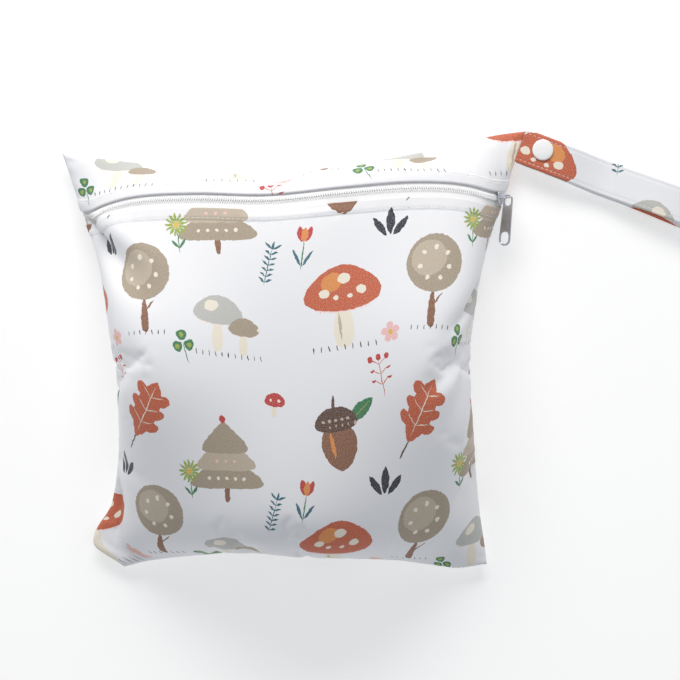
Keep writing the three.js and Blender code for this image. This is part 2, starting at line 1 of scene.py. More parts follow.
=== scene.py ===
"""A zipped cloth wet bag, stuffed and lying on its back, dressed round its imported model.

The object is in metres with +Z up. A size whose name has no unit is in millimetres.
"""

import sys
import logging
import math
from dataclasses import dataclass, field
from enum import Enum
from typing import Callable, NamedTuple, Optional

import bpy
import numpy as np
from mathutils import Matrix, Vector


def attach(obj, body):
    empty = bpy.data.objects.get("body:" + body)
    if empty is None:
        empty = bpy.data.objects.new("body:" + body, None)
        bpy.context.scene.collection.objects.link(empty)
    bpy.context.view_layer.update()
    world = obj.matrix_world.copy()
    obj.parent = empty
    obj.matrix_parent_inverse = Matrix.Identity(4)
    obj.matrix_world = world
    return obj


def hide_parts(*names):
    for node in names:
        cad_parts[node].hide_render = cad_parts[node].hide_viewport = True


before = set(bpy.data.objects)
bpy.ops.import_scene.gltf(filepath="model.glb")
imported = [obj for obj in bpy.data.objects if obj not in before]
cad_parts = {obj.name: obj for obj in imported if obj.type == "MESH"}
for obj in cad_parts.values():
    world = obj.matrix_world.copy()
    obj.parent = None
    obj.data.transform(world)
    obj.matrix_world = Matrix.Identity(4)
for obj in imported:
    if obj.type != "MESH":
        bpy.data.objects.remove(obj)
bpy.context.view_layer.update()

MM = 0.001
BAG = "bag"
PULL = "pull_tab"
log = logging.getLogger("wet_bag")


class Face(Enum):
    """The two cloth faces of the bag, by the way that they look."""

    FRONT = 1.0
    BACK = -1.0


class Outline(NamedTuple):
    """How far each seam lies inside the rectangle, as a share of its half size."""

    at: float
    left: float
    right: float
    bottom: float
    top: float


class Fold(NamedTuple):
    """A trough in a face, from one point to another, in shares of its half size."""

    face: Face
    from_s: float
    from_t: float
    to_s: float
    to_t: float
    width: float
    depth: float


OUTLINE = (
    Outline(-1.0, 0.268, 0.168, 0.018, 0.1),
    Outline(-0.9, 0.128, 0.176, 0.033, 0.113),
    Outline(-0.7, 0.204, 0.199, 0.058, 0.141),
    Outline(-0.4, 0.256, 0.232, 0.095, 0.192),
    Outline(-0.1, 0.264, 0.261, 0.1, 0.226),
    Outline(0.2, 0.226, 0.236, 0.082, 0.186),
    Outline(0.5, 0.158, 0.164, 0.05, 0.115),
    Outline(0.7, 0.09, 0.095, 0.016, 0.062),
    Outline(0.85, 0.041, 0.05, 0.003, 0.021),
    Outline(1.0, 0.0, 0.0, 0.03, 0.0),
)

FOLDS = (
    Fold(Face.FRONT, -0.93, 0.62, -0.62, 0.28, 0.035, 0.1),
    Fold(Face.FRONT, -0.84, 0.66, -0.55, 0.42, 0.03, -0.05),
    Fold(Face.FRONT, 0.93, 0.12, 0.6, -0.12, 0.03, 0.075),
    Fold(Face.FRONT, 0.95, 0.3, 0.68, 0.08, 0.028, 0.06),
    Fold(Face.FRONT, 0.93, 0.0, 0.7, -0.3, 0.028, 0.045),
    Fold(Face.FRONT, -0.97, -0.62, -0.84, -0.95, 0.03, 0.09),
    Fold(Face.FRONT, -0.93, -0.12, -0.74, -0.04, 0.026, 0.05),
    Fold(Face.FRONT, 0.94, -0.55, 0.76, -0.66, 0.028, 0.05),
    Fold(Face.FRONT, -0.22, -0.97, -0.16, -0.8, 0.028, 0.05),
    Fold(Face.FRONT, -0.06, 0.98, -0.04, 0.78, 0.04, 0.08),
    Fold(Face.FRONT, 0.62, 0.96, 0.5, 0.8, 0.03, 0.05),
    Fold(Face.BACK, -0.95, 0.3, -0.68, 0.2, 0.03, 0.08),
    Fold(Face.BACK, 0.95, -0.2, 0.7, -0.28, 0.03, 0.08),
    Fold(Face.BACK, 0.3, 0.96, 0.26, 0.72, 0.03, 0.07),
    Fold(Face.BACK, -0.4, -0.96, -0.36, -0.72, 0.03, 0.07),
)

CREASES = (
    Fold(Face.FRONT, -0.97, 0.67, -0.65, 0.41, 0.022, 0.06),
    Fold(Face.FRONT, 0.95, 0.27, 0.71, 0.11, 0.014, 0.03),
    Fold(Face.FRONT, 0.96, 0.04, 0.6, -0.14, 0.016, 0.035),
    Fold(Face.FRONT, 0.99, -0.41, 0.81, -0.42, 0.011, 0.02),
    Fold(Face.FRONT, 0.99, -0.54, 0.83, -0.55, 0.011, 0.02),
    Fold(Face.FRONT, -0.98, -0.465, -0.68, -0.535, 0.018, 0.03),
    Fold(Face.FRONT, -0.97, -0.85, -0.9, -0.96, 0.014, 0.025),
    Fold(Face.FRONT, -0.87, -0.66, -0.89, -0.94, 0.016, 0.025),
    Fold(Face.FRONT, -0.24, -0.96, -0.245, -0.76, 0.014, 0.02),
    Fold(Face.FRONT, 0.045, -0.96, 0.025, -0.74, 0.014, 0.02),
    Fold(Face.FRONT, 0.53, -0.98, 0.51, -0.82, 0.014, 0.02),
)


def ease(start: float, end: float, value: np.ndarray) -> np.ndarray:
    """Smooth step of value between start and end.

    Args:
        start: Where the result leaves 0.
        end: Where the result reaches 1.
        value: The place or places to evaluate.

    Returns:
        The share, from 0 to 1.
    """
    share = np.clip((value - start) / (end - start), 0.0, 1.0)
    return share * share * (3.0 - 2.0 * share)


def mix(a: np.ndarray, b: np.ndarray, share: np.ndarray) -> np.ndarray:
    """The value between a and b at a share from 0 to 1."""
    return a + (b - a) * share


def unit(vectors: np.ndarray) -> np.ndarray:
    """The vectors at length one."""
    length = np.linalg.norm(vectors, axis=-1, keepdims=True)
    return vectors / np.maximum(length, 1e-12)


class Section:
    """Half of the bag's section, from its middle to the seam, even along the cloth."""

    STEPS = 1600

    def __init__(self, run: float, rise: float, power: float) -> None:
        """Measures the section.

        Args:
            run: Half of its width.
            rise: Its height.
            power: Its shoulder's power; lower is boxier.
        """
        turn = (1.0 - (1.0 - np.linspace(0.0, 1.0, self.STEPS + 1)) ** 3) * math.pi / 2
        self.across = np.sin(turn)
        self.up = np.maximum(np.cos(turn), 0.0) ** power
        self.up[-1] = 0.0
        steps = np.hypot(np.diff(self.across) * run, np.diff(self.up) * rise)
        along = np.concatenate([[0.0], np.cumsum(steps)])
        self.share = along / along[-1]

    def at(self, share: np.ndarray) -> tuple[np.ndarray, np.ndarray]:
        """Where a share of the cloth's half length lies.

        Args:
            share: From -1 at one seam to 1 at the other.

        Returns:
            The place across, from -1 to 1, and the height, from 0 to 1.
        """
        size = np.minimum(np.abs(share), 1.0)
        across = np.sign(share) * np.interp(size, self.share, self.across)
        return across, np.interp(size, self.share, self.up)


@dataclass
class BagForm:
    """The bag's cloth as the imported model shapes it: the inner side of each face."""

    half_width: float = 152.5
    half_height: float = 144.5
    flat_width: float = 310.0
    flat_height: float = 300.0
    seam_height: float = 44.0
    front_rise: float = 52.0
    back_drop: float = 55.0
    shoulder_power: float = 0.42
    blend_power: float = 2.5
    floor_blend: float = 5.0
    droop_from: float = 0.05
    droop_to: float = 0.8
    corner_heights: tuple[float, float, float, float] = (8.0, 8.5, 9.0, 6.8)
    cloth: float = 1.2
    strap_root_at: float = 0.933
    strap_gap: float = 2.2
    strap_width: float = 23.0
    band_height: float = 41.7
    zip_opening: float = 7.4
    wide: Section = field(init=False)
    tall: Section = field(init=False)

    def __post_init__(self) -> None:
        """Measures the two sections through the middle."""
        zero = np.zeros(1)
        waist = 1.0 - float(self.column("left", zero)[0] + self.column("right", zero)[0]) / 2
        middle = 1.0 - float(self.column("bottom", zero)[0] + self.column("top", zero)[0]) / 2
        rise, power = self.front_rise, self.shoulder_power
        self.wide = Section(self.half_width * waist, rise, power)
        self.tall = Section(self.half_height * middle, rise, power)

    @property
    def band_edge(self) -> float:
        """The lower edge of the cloth above the zip, as a t."""
        return 1.0 - 2.0 * self.band_height / self.flat_height

    @property
    def panel_edge(self) -> float:
        """The upper edge of the cloth below the zip, as a t."""
        return self.band_edge - 2.0 * self.zip_opening / self.flat_height

    @property
    def zip_middle(self) -> float:
        """The middle of the zip, as a t."""
        return (self.band_edge + self.panel_edge) / 2

    def column(self, side: str, at: np.ndarray) -> np.ndarray:
        """A column of the outline table at any place, by a cubic through its rows.

        Args:
            side: The column's name.
            at: Places along the seam, from -1 to 1.

        Returns:
            The seam's insets, as shares of the half size.
        """
        knots = np.array([row.at for row in OUTLINE])
        values = np.array([getattr(row, side) for row in OUTLINE])
        last = len(knots) - 1
        row = np.clip(np.searchsorted(knots, at, side="left"), 1, last)
        before, after = np.maximum(row - 2, 0), np.minimum(row + 1, last)
        slope_a = (values[row] - values[before]) / (knots[row] - knots[before])
        slope_b = (values[after] - values[row - 1]) / (knots[after] - knots[row - 1])
        step = knots[row] - knots[row - 1]
        u = np.clip((at - knots[row - 1]) / step, 0.0, 1.0)
        u2, u3 = u * u, u * u * u
        return (
            values[row - 1] * (2 * u3 - 3 * u2 + 1)
            + values[row] * (3 * u2 - 2 * u3)
            + slope_a * step * (u3 - 2 * u2 + u)
            + slope_b * step * (u3 - u2)
        )

    def seam_level(self, s: np.ndarray, t: np.ndarray) -> np.ndarray:
        """Height of the seams' surface, which droops to the floor at the corners."""
        low_left, low_right, top_left, top_right = self.corner_heights
        bottom = mix(low_left, low_right, (1 + s) / 2)
        top = mix(top_left, top_right, (1 + s) / 2)
        corner = mix(bottom, top, (1 + t) / 2)
        reach = (self.droop_from, self.droop_to)
        drooped = ease(*reach, np.abs(s)) * ease(*reach, np.abs(t))
        return mix(self.seam_height, corner, drooped)

    def half_gap(self, s: np.ndarray, t: np.ndarray) -> np.ndarray:
        """Half of the seam's opening, which is there only where the strap is sewn in."""
        share = self.strap_width / self.flat_height
        near = self.strap_root_at
        beside_strap = ease(near - 2.4 * share, near - 1.5 * share, t)
        beside_seam = ease(1 - 24.0 / self.flat_width, 1 - 10.4 / self.flat_width, s)
        return self.strap_gap / 2 * beside_strap * beside_seam

    def settle(self, height: np.ndarray) -> np.ndarray:
        """The back's height once the floor has flattened it."""
        reach = self.floor_blend
        above = np.clip(height - self.cloth, -reach, reach)
        return np.maximum(height, self.cloth + (above + reach) ** 2 / (4 * reach))

    def smooth_point(self, face: Face, s: np.ndarray, t: np.ndarray) -> np.ndarray:
        """The cloth's inner side without its folds.

        Args:
            face: Which face.
            s: Places across it, from -1 to 1.
            t: Places up it, from -1 to 1.

        Returns:
            Points in millimetres.
        """
        across, wide_up = self.wide.at(s)
        along, tall_up = self.tall.at(t)
        left = -self.half_width * (1 - self.column("left", t))
        right = self.half_width * (1 - self.column("right", t))
        bottom = -self.half_height * (1 - self.column("bottom", s))
        top = self.half_height * (1 - self.column("top", s))
        x = mix(left, right, (1 + mix(s, across, tall_up**self.blend_power)) / 2)
        y = mix(bottom, top, (1 + mix(t, along, wide_up**self.blend_power)) / 2)
        swell = wide_up * tall_up
        level, gap = self.seam_level(s, t), self.half_gap(s, t)
        if face is Face.FRONT:
            z = level + gap + self.front_rise * swell
        else:
            z = np.minimum(self.settle(level - gap - self.back_drop * swell), level - gap)
        return np.stack([x, y, z], axis=-1)

    def fold_depth(self, face: Face, s: np.ndarray, t: np.ndarray) -> np.ndarray:
        """How deep the folds are at each place of a face."""
        depth = np.zeros_like(s)
        for fold in FOLDS + CREASES:
            if fold.face is not face:
                continue
            run_s, run_t = fold.to_s - fold.from_s, fold.to_t - fold.from_t
            length = math.hypot(run_s, run_t)
            off_s, off_t = s - fold.from_s, t - fold.from_t
            along = (off_s * run_s + off_t * run_t) / length**2
            beside = (off_s * run_t - off_t * run_s) / length
            fade = ease(-0.25, 0.15, along) * (1 - ease(0.6, 1.25, along))
            shape = np.exp(-((beside / (2 * fold.width)) ** 2))
            depth += fold.depth * self.front_rise * fade * shape
        held = ease(0, 0.06, 1 - np.abs(s)) * ease(0, 0.06, 1 - np.abs(t))
        return depth * held

    def point(self, face: Face, s: np.ndarray, t: np.ndarray) -> np.ndarray:
        """The cloth's inner side with its folds, in millimetres."""
        point = self.smooth_point(face, s, t)
        depth = self.fold_depth(face, s, t)
        normal = surface_normal(self.smooth_point, face, s, t)
        point = point - normal * depth[..., None]
        if face is Face.BACK:
            point[..., 2] = np.maximum(point[..., 2], self.cloth)
        return point


def surface_normal(
    point: Callable[[Face, np.ndarray, np.ndarray], np.ndarray],
    face: Face,
    s: np.ndarray,
    t: np.ndarray,
) -> np.ndarray:
    """The outward normal of a face, which never leans past its seam.

    Args:
        point: A function of face, s and t that gives points.
        face: Which face.
        s: Places across it.
        t: Places up it.

    Returns:
        Unit vectors.
    """
    step = 0.004
    along = point(face, np.minimum(s + step, 1), t) - point(face, np.maximum(s - step, -1), t)
    up = point(face, s, np.minimum(t + step, 1)) - point(face, s, np.maximum(t - step, -1))
    normal = unit(np.cross(along, up)) * face.value
    normal[..., 2] = face.value * np.maximum(face.value * normal[..., 2], 0.0)
    return unit(normal)


def cubic_sample(grid: np.ndarray, x: np.ndarray, y: np.ndarray) -> np.ndarray:
    """Reads a grid of vectors between its points by a cubic each way.

    Args:
        grid: Rows, columns and vector parts.
        x: Places along the columns, from -1 to 1.
        y: Places along the rows, from -1 to 1.

    Returns:
        One vector for each place.
    """
    rows, columns = grid.shape[:2]

    def weights(share: np.ndarray, count: int) -> tuple[np.ndarray, list[np.ndarray]]:
        """The first grid line before each place and the four cubic weights."""
        at = np.clip((share + 1) / 2, 0, 1) * (count - 1)
        base = np.minimum(at.astype(int), count - 2)
        u = at - base
        return base, [
            -0.5 * u + u**2 - 0.5 * u**3,
            1 - 2.5 * u**2 + 1.5 * u**3,
            0.5 * u + 2 * u**2 - 1.5 * u**3,
            -0.5 * u**2 + 0.5 * u**3,
        ]

    column, across = weights(x, columns)
    row, along = weights(y, rows)
    total = np.zeros(x.shape + grid.shape[2:])
    for j, row_weight in enumerate(along):
        line = np.clip(row + j - 1, 0, rows - 1)
        for i, column_weight in enumerate(across):
            place = np.clip(column + i - 1, 0, columns - 1)
            total += grid[line, place] * (row_weight * column_weight)[..., None]
    return total


def deselect() -> None:
    """Leaves nothing selected."""
    if bpy.context.object and bpy.context.object.mode != "OBJECT":
        bpy.ops.object.mode_set(mode="OBJECT")
    bpy.ops.object.select_all(action="DESELECT")


def activate(obj: bpy.types.Object) -> None:
    """Makes obj the only selected and the active object."""
    deselect()
    obj.select_set(True)
    bpy.context.view_layer.objects.active = obj


def apply_modifiers(obj: bpy.types.Object) -> None:
    """Applies every modifier of obj in order."""
    activate(obj)
    for name in [modifier.name for modifier in obj.modifiers]:
        bpy.ops.object.modifier_apply(modifier=name)


def grid_object(name: str, points: np.ndarray) -> bpy.types.Object:
    """A grid primitive laid over an array of points.

    Args:
        name: The object's name.
        points: Rows, columns and coordinates in metres.

    Returns:
        The object, its vertices in the array's order.
    """
    rows, columns = points.shape[:2]
    deselect()
    bpy.ops.mesh.primitive_grid_add(x_subdivisions=columns - 1, y_subdivisions=rows - 1, size=2)
    obj = bpy.context.object
    obj.name = obj.data.name = name
    obj.data.vertices.foreach_set("co", np.ascontiguousarray(points, np.float32).ravel())
    obj.data.update()
    return obj


def join(objects: list[bpy.types.Object], name: str) -> bpy.types.Object:
    """Joins meshes into one object."""
    deselect()
    for obj in objects:
        obj.select_set(True)
    bpy.context.view_layer.objects.active = objects[0]
    if len(objects) > 1:
        bpy.ops.object.join()
    joined = bpy.context.object
    joined.name = joined.data.name = name
    return joined


def edit(obj: bpy.types.Object) -> None:
    """Opens obj in edit mode with all of it selected."""
    activate(obj)
    bpy.ops.object.mode_set(mode="EDIT")
    bpy.ops.mesh.select_all(action="SELECT")


@dataclass
class StuffedPouch:
    """The two faces sewn together and swollen by what the bag holds."""

    form: BagForm
    columns: int = 105
    rows: int = 101
    frames: int = 22
    scale: float = 0.01
    pressure: float = 2.2
    reach: float = 5.0
    moves: dict[Face, np.ndarray] = field(default_factory=dict)

    def held(self, s: np.ndarray, t: np.ndarray, face: Face) -> np.ndarray:
        """How firmly the cloth is held: by its seams, by the zip and by the floor."""
        seam = 0.45 * (1 - ease(0, 0.03, 1 - np.maximum(np.abs(s), np.abs(t))))
        corner = ease(0.9, 1.0, np.minimum(np.abs(s), np.abs(t)))
        base = np.full_like(s, 0.012)
        if face is Face.FRONT:
            half = (self.form.band_edge - self.form.panel_edge) / 2
            from_zip = np.abs(t - self.form.zip_middle) - half
            zip_line = 0.9 * (1 - ease(0.0, 0.06, from_zip))
            slider = (1 - ease(0.0, 0.12, from_zip)) * ease(0.82, 0.9, s)
            return np.clip(np.maximum.reduce([seam, corner, base, zip_line, slider]), 0, 1)
        strap = ease(0.86, 0.94, s) * ease(0.7, 0.8, t)
        return np.clip(np.maximum.reduce([seam, corner, base, strap]), 0, 1)

    def relax(self) -> None:
        """Runs the cloth simulation and keeps how far each point of the faces moved."""
        s, t = np.meshgrid(np.linspace(-1, 1, self.columns), np.linspace(-1, 1, self.rows))
        self.moves = {face: np.zeros(s.shape + (3,)) for face in Face}
        start = {face: self.form.smooth_point(face, s, t) * self.scale for face in Face}
        rim = (np.abs(s) >= 1) | (np.abs(t) >= 1)
        middle = (start[Face.FRONT] + start[Face.BACK]) / 2
        halves = []
        for face in Face:
            start[face][rim] = middle[rim]
            half = grid_object(f"pouch_{face.name}", start[face])
            if face is Face.BACK:
                half.data.flip_normals()
            half.data.attributes.new("place", "INT", "POINT").data.foreach_set(
                "value", np.arange(s.size, dtype=np.int32) + (s.size if face is Face.BACK else 0)
            )
            halves.append(half)
        pouch = join(halves, "pouch")
        edit(pouch)
        bpy.ops.mesh.remove_doubles(threshold=1e-4)
        bpy.ops.object.mode_set(mode="OBJECT")
        count = len(pouch.data.vertices)
        place = np.zeros(count, np.int32)
        pouch.data.attributes["place"].data.foreach_get("value", place)
        grid_place, is_back = place % s.size, place >= s.size
        flat = np.zeros((count, 3), np.float32)
        flat[:, 0] = s.ravel()[grid_place] * self.form.flat_width / 2 * self.scale
        flat[:, 1] = t.ravel()[grid_place] * self.form.flat_height / 2 * self.scale
        pouch.shape_key_add(name="Basis")
        cut = pouch.shape_key_add(name="cut")
        cut.data.foreach_set("co", flat.ravel())
        cut.value = 0.0
        hold = np.where(
            is_back,
            self.held(s, t, Face.BACK).ravel()[grid_place],
            self.held(s, t, Face.FRONT).ravel()[grid_place],
        )
        group = pouch.vertex_groups.new(name="hold")
        for index, weight in enumerate(hold):
            group.add([index], float(weight), "REPLACE")
        cloth = pouch.modifiers.new("Cloth", "CLOTH")
        settings = cloth.settings
        settings.quality = 7
        settings.mass = 0.15
        settings.tension_stiffness = 25.0
        settings.compression_stiffness = 25.0
        settings.shear_stiffness = 12.0
        settings.bending_stiffness = 0.6
        settings.tension_damping = settings.compression_damping = 10.0
        settings.shear_damping = 10.0
        settings.air_damping = 4.0
        settings.use_pressure = True
        settings.uniform_pressure_force = self.pressure
        settings.vertex_group_mass = "hold"
        settings.pin_stiffness = 1.0
        settings.rest_shape_key = cut
        settings.effector_weights.gravity = 0.0
        cloth.collision_settings.use_collision = False
        cloth.point_cache.frame_start, cloth.point_cache.frame_end = 1, self.frames
        scene = bpy.context.scene
        for frame_number in range(1, self.frames + 1):
            scene.frame_set(frame_number)
        shown = pouch.evaluated_get(bpy.context.evaluated_depsgraph_get())
        after = np.zeros(count * 3, np.float32)
        shown.data.vertices.foreach_get("co", after)
        before = np.where(
            is_back[:, None],
            start[Face.BACK].reshape(-1, 3)[grid_place],
            start[Face.FRONT].reshape(-1, 3)[grid_place],
        )
        move = (after.reshape(-1, 3) - before) / self.scale
        size = np.linalg.norm(move, axis=1, keepdims=True)
        log.info("cloth moved %.1f mm at most, %.1f on average", size.max(), size.mean())
        move *= self.reach * np.tanh(size / self.reach) / np.maximum(size, 1e-9)
        for face in Face:
            moved = self.moves[face].reshape(-1, 3)
            mine = is_back == (face is Face.BACK)
            moved[grid_place[mine]] = move[mine]
        on_rim = rim.ravel()[grid_place]
        for face in Face:
            self.moves[face].reshape(-1, 3)[grid_place[on_rim]] = move[on_rim]
        scene.frame_set(1)
        bpy.data.objects.remove(pouch)

    def point(self, face: Face, s: np.ndarray, t: np.ndarray) -> np.ndarray:
        """The cloth's inner side once it is stuffed, in millimetres."""
        point = self.form.point(face, s, t) + cubic_sample(self.moves[face], s, t)
        low = self.form.cloth if face is Face.BACK else 0.0
        point[..., 2] = np.maximum(point[..., 2], low)
        return point

    def outside(
        self, face: Face, s: np.ndarray, t: np.ndarray, height: np.ndarray
    ) -> np.ndarray:
        """Points at a height above the cloth's inner side, in millimetres."""
        normal = surface_normal(self.point, face, s, t)
        return self.point(face, s, t) + normal * np.asarray(height)[..., None]

    def frames_along(self, s: np.ndarray, t: np.ndarray, height: float) -> list[Matrix]:
        """Frames on the front, their X along a line of places and their Z out of the cloth.

        Args:
            s: Places across the front.
            t: Places up the front.
            height: Their height above the cloth's inner side.

        Returns:
            One frame for each place.
        """
        heights = np.full_like(s, height)
        centre = self.outside(Face.FRONT, s, t, heights)
        ahead = self.outside(Face.FRONT, s + 0.01, t, heights)
        normal = surface_normal(self.point, Face.FRONT, s, t)
        along = unit(ahead - centre)
        side = unit(np.cross(normal, along))
        return [
            frame_matrix(along[i], side[i], np.cross(along[i], side[i]), centre[i])
            for i in range(len(s))
        ]


def steps_between(start: float, end: float, coarse: float, fine: float, near: float) -> np.ndarray:
    """Places along a cloth, closer together near both of its ends.

    Args:
        start: The first place, in millimetres of flat cloth.
        end: The last place.
        coarse: The spacing in the middle.
        fine: The spacing near the ends.
        near: How far from an end the fine spacing reaches.

    Returns:
        The places, in order.
    """
    lower = np.arange(start, start + near, fine)
    upper = np.arange(end, end - near, -fine)[::-1]
    count = max(int(round((upper[0] - lower[-1]) / coarse)), 1)
    between = np.linspace(lower[-1], upper[0], count + 1)[1:-1]
    return np.concatenate([lower, between, upper])


def set_flat_map(obj: bpy.types.Object, flat: np.ndarray) -> None:
    """Writes each vertex's place on the flat cloth, in metres, as the piece's UV map."""
    mesh = obj.data
    layer = mesh.uv_layers.active or mesh.uv_layers.new(name="UVMap")
    corner = np.zeros(len(mesh.loops), np.int32)
    mesh.loops.foreach_get("vertex_index", corner)
    layer.data.foreach_set("uv", np.ascontiguousarray(flat[corner], np.float32).ravel())


def set_mask(obj: bpy.types.Object, name: str, values: np.ndarray) -> None:
    """Writes a number for each vertex as a named attribute."""
    attribute = obj.data.attributes.new(name, "FLOAT", "POINT")
    attribute.data.foreach_set("value", np.ascontiguousarray(values, np.float32).ravel())


def add_wall(obj: bpy.types.Object, thickness: float) -> None:
    """Gives a sheet a wall that grows inwards, in millimetres."""
    wall = obj.modifiers.new("wall", "SOLIDIFY")
    wall.thickness = thickness * MM
    wall.offset = -1.0
    apply_modifiers(obj)


def finish_piece(
    obj: bpy.types.Object,
    body: str,
    material: bpy.types.Material,
    nodes: tuple[str, ...],
) -> bpy.types.Object:
    """Dresses a piece and says what it rides on and stands for.

    Args:
        obj: The piece.
        body: The body that it moves with.
        material: Its finish.
        nodes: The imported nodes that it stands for.

    Returns:
        The piece.
    """
    obj.data.materials.clear()
    obj.data.materials.append(material)
    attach(obj, body)
    if nodes:
        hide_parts(*nodes)
    log.info("%s: %d faces", obj.name, len(obj.data.polygons))
    return obj


def stitch_template(half_size: tuple[float, float, float]) -> bpy.types.Object:
    """One stitch to copy: an oval bead, its half sizes in millimetres."""
    deselect()
    bpy.ops.mesh.primitive_uv_sphere_add(segments=8, ring_count=6, radius=1.0)
    stitch = bpy.context.object
    stitch.data.transform(Matrix.Diagonal((*(size * MM for size in half_size), 1.0)))
    bpy.ops.object.shade_smooth()
    return stitch


def copies(template: bpy.types.Object, places: list[Matrix], name: str) -> bpy.types.Object:
    """One copy of the template at each place, joined; the template is removed."""
    made = []
    for place in places:
        copy = bpy.data.objects.new(name, template.data.copy())
        copy.data.transform(place)
        bpy.context.scene.collection.objects.link(copy)
        made.append(copy)
    bpy.data.objects.remove(template)
    return join(made, name)


def frame_matrix(x: np.ndarray, y: np.ndarray, z: np.ndarray, origin: np.ndarray) -> Matrix:
    """The matrix of three axes and an origin in millimetres."""
    rows = [[x[i], y[i], z[i], origin[i] * MM] for i in range(3)]
    return Matrix([*rows, [0.0, 0.0, 0.0, 1.0]])


@dataclass
class Hem:
    """The turned edge of the cloth beside the zip."""

    width: float = 8.0
    extra: float = 0.6
    stitch_at: float = 7.0
    stitch_dip: float = 0.35
    stitch_width: float = 0.55
    stitch_pitch: float = 3.2
    fold_radius: float = 0.85
    tucked: float = 1.6
    set_back: float = 2.6


@dataclass
class ClothFaces:
    """The printed cloth: the back, the front below the zip and the band above it."""

    pouch: StuffedPouch
    finishes: "Finishes"
    hem: Hem = field(default_factory=Hem)
    wall: float = 0.6
    coarse: float = 1.75
    fine: float = 0.7
    near: float = 5.0
    welt: float = 2.2
    pucker: float = 0.22

    def across(self) -> np.ndarray:
        """Places across a face, from seam to seam, as shares."""
        half = self.pouch.form.flat_width / 2
        return steps_between(-half, half, self.coarse, self.fine, self.near) / half

    def rise(self, s: np.ndarray, t: np.ndarray, edge: Optional[float]) -> np.ndarray:
        """Height of the cloth's outer side over its inner side.

        Args:
            s: Places across the face.
            t: Places up the face.
            edge: The hem's edge as a t, or None on the back.

        Returns:
            Heights in millimetres.
        """
        form, hem = self.pouch.form, self.hem
        beside = (1 - np.abs(s)) * form.flat_width / 2
        beyond = (1 - np.abs(t)) * form.flat_height / 2
        inside = np.clip(np.minimum(beside, beyond) / self.welt, 0, 1)
        height = form.cloth * (0.08 + 0.92 * np.sqrt(1 - (1 - inside) ** 2))
        across, up = s * form.flat_width / 2, t * form.flat_height / 2
        along = np.where(beside < beyond, up, across)
        wave = np.sin(along / 1.7 + 2.1 * np.sin(along / 13.0)) * np.sin(along / 31.0 + 0.7)
        near_seam = np.exp(-((np.minimum(beside, beyond) - 4.0) / 3.2) ** 2)
        height = height + self.pucker * wave * near_seam
        if edge is not None:
            from_edge = np.abs(t - edge) * form.flat_height / 2
            height += hem.extra * (1 - ease(hem.width - 0.5, hem.width + 0.5, from_edge))
            dip = np.exp(-(((from_edge - hem.stitch_at) / hem.stitch_width) ** 2))
            stitch_wave = 0.7 + 0.3 * np.cos(across * 2 * math.pi / hem.stitch_pitch)
            height -= hem.stitch_dip * dip * stitch_wave
            drawn = np.exp(-(((from_edge - hem.stitch_at) / 3.0) ** 2))
            height += 0.14 * drawn * np.sin(across / 1.9 + 2.5 * np.sin(s * 9.0))
        return height

    def build(
        self,
        name: str,
        face: Face,
        rows: np.ndarray,
        edge: Optional[float],
        offset: tuple[float, float],
    ) -> bpy.types.Object:
        """Makes one cloth piece.

        Args:
            name: The piece's name.
            face: The face that it lies on.
            rows: Places up the face, as shares.
            edge: The hem's edge as a t, or None.
            offset: Where its print starts, in metres.

        Returns:
            The piece, with its wall.
        """
        form = self.pouch.form
        s, t = np.meshgrid(self.across(), rows)
        points = self.pouch.outside(face, s, t, self.rise(s, t, edge))
        flat = np.stack([s * form.flat_width / 2 * MM, t * form.flat_height / 2 * MM], axis=-1)
        in_hem = np.zeros_like(s)
        if edge is not None:
            from_edge = np.abs(t - edge) * form.flat_height / 2
            in_hem = 1 - ease(self.hem.width - 0.3, self.hem.width + 0.3, from_edge)
            points, flat, in_hem = self.turn_under(points, flat, in_hem, s, face, edge)
        obj = grid_object(name, points * MM)
        if face is Face.BACK:
            obj.data.flip_normals()
        shifted = flat.reshape(-1, 2) + np.array(offset)
        set_flat_map(obj, shifted)
        set_mask(obj, "hem", in_hem)
        add_wall(obj, self.wall)
        deselect()
        obj.select_set(True)
        bpy.ops.object.shade_smooth()
        return obj

    def turn_under(
        self,
        points: np.ndarray,
        flat: np.ndarray,
        in_hem: np.ndarray,
        s: np.ndarray,
        face: Face,
        edge: float,
    ) -> tuple[np.ndarray, np.ndarray, np.ndarray]:
        """Adds the rows in which the hem's edge turns round and under.

        Args:
            points: The rows so far, the edge's row first or last.
            flat: Their places on the flat cloth.
            in_hem: Their share of the hem's tone.
            s: Places across.
            face: The face.
            edge: The hem's edge as a t.

        Returns:
            The three arrays with the new rows.
        """
        edge_last = edge < self.pouch.form.zip_middle
        at = -1 if edge_last else 0
        beside = -2 if edge_last else 1
        radius = self.hem.fold_radius
        inset = 2 * radius / self.pouch.form.flat_height
        line_s = s[at]
        line_t = np.full_like(line_s, edge - inset if edge_last else edge + inset)
        normal = surface_normal(self.pouch.point, face, line_s, line_t)
        onward = unit(points[at] - points[beside])
        onward = unit(onward - normal * np.sum(onward * normal, axis=-1, keepdims=True))
        new_points, new_flat = [], []
        for turn in np.radians([25, 50, 75, 100, 125, 150, 180]):
            out = radius * math.sin(turn)
            down = radius * (1 - math.cos(turn))
            new_points.append(points[at] + onward * out - normal * down)
            new_flat.append(radius * turn)
        new_points.append(points[at] - onward * self.hem.tucked - normal * 2 * radius)
        new_flat.append(radius * math.pi + self.hem.tucked)
        direction = 1.0 if edge_last else -1.0
        rows = [flat[at] + np.array([0.0, direction * run * MM]) for run in new_flat]
        hem_rows = [in_hem[at]] * len(rows)
        if edge_last:
            return (
                np.concatenate([points, np.array(new_points)]),
                np.concatenate([flat, np.array(rows)]),
                np.concatenate([in_hem, np.array(hem_rows)]),
            )
        return (
            np.concatenate([np.array(new_points[::-1]), points]),
            np.concatenate([np.array(rows[::-1]), flat]),
            np.concatenate([np.array(hem_rows[::-1]), in_hem]),
        )

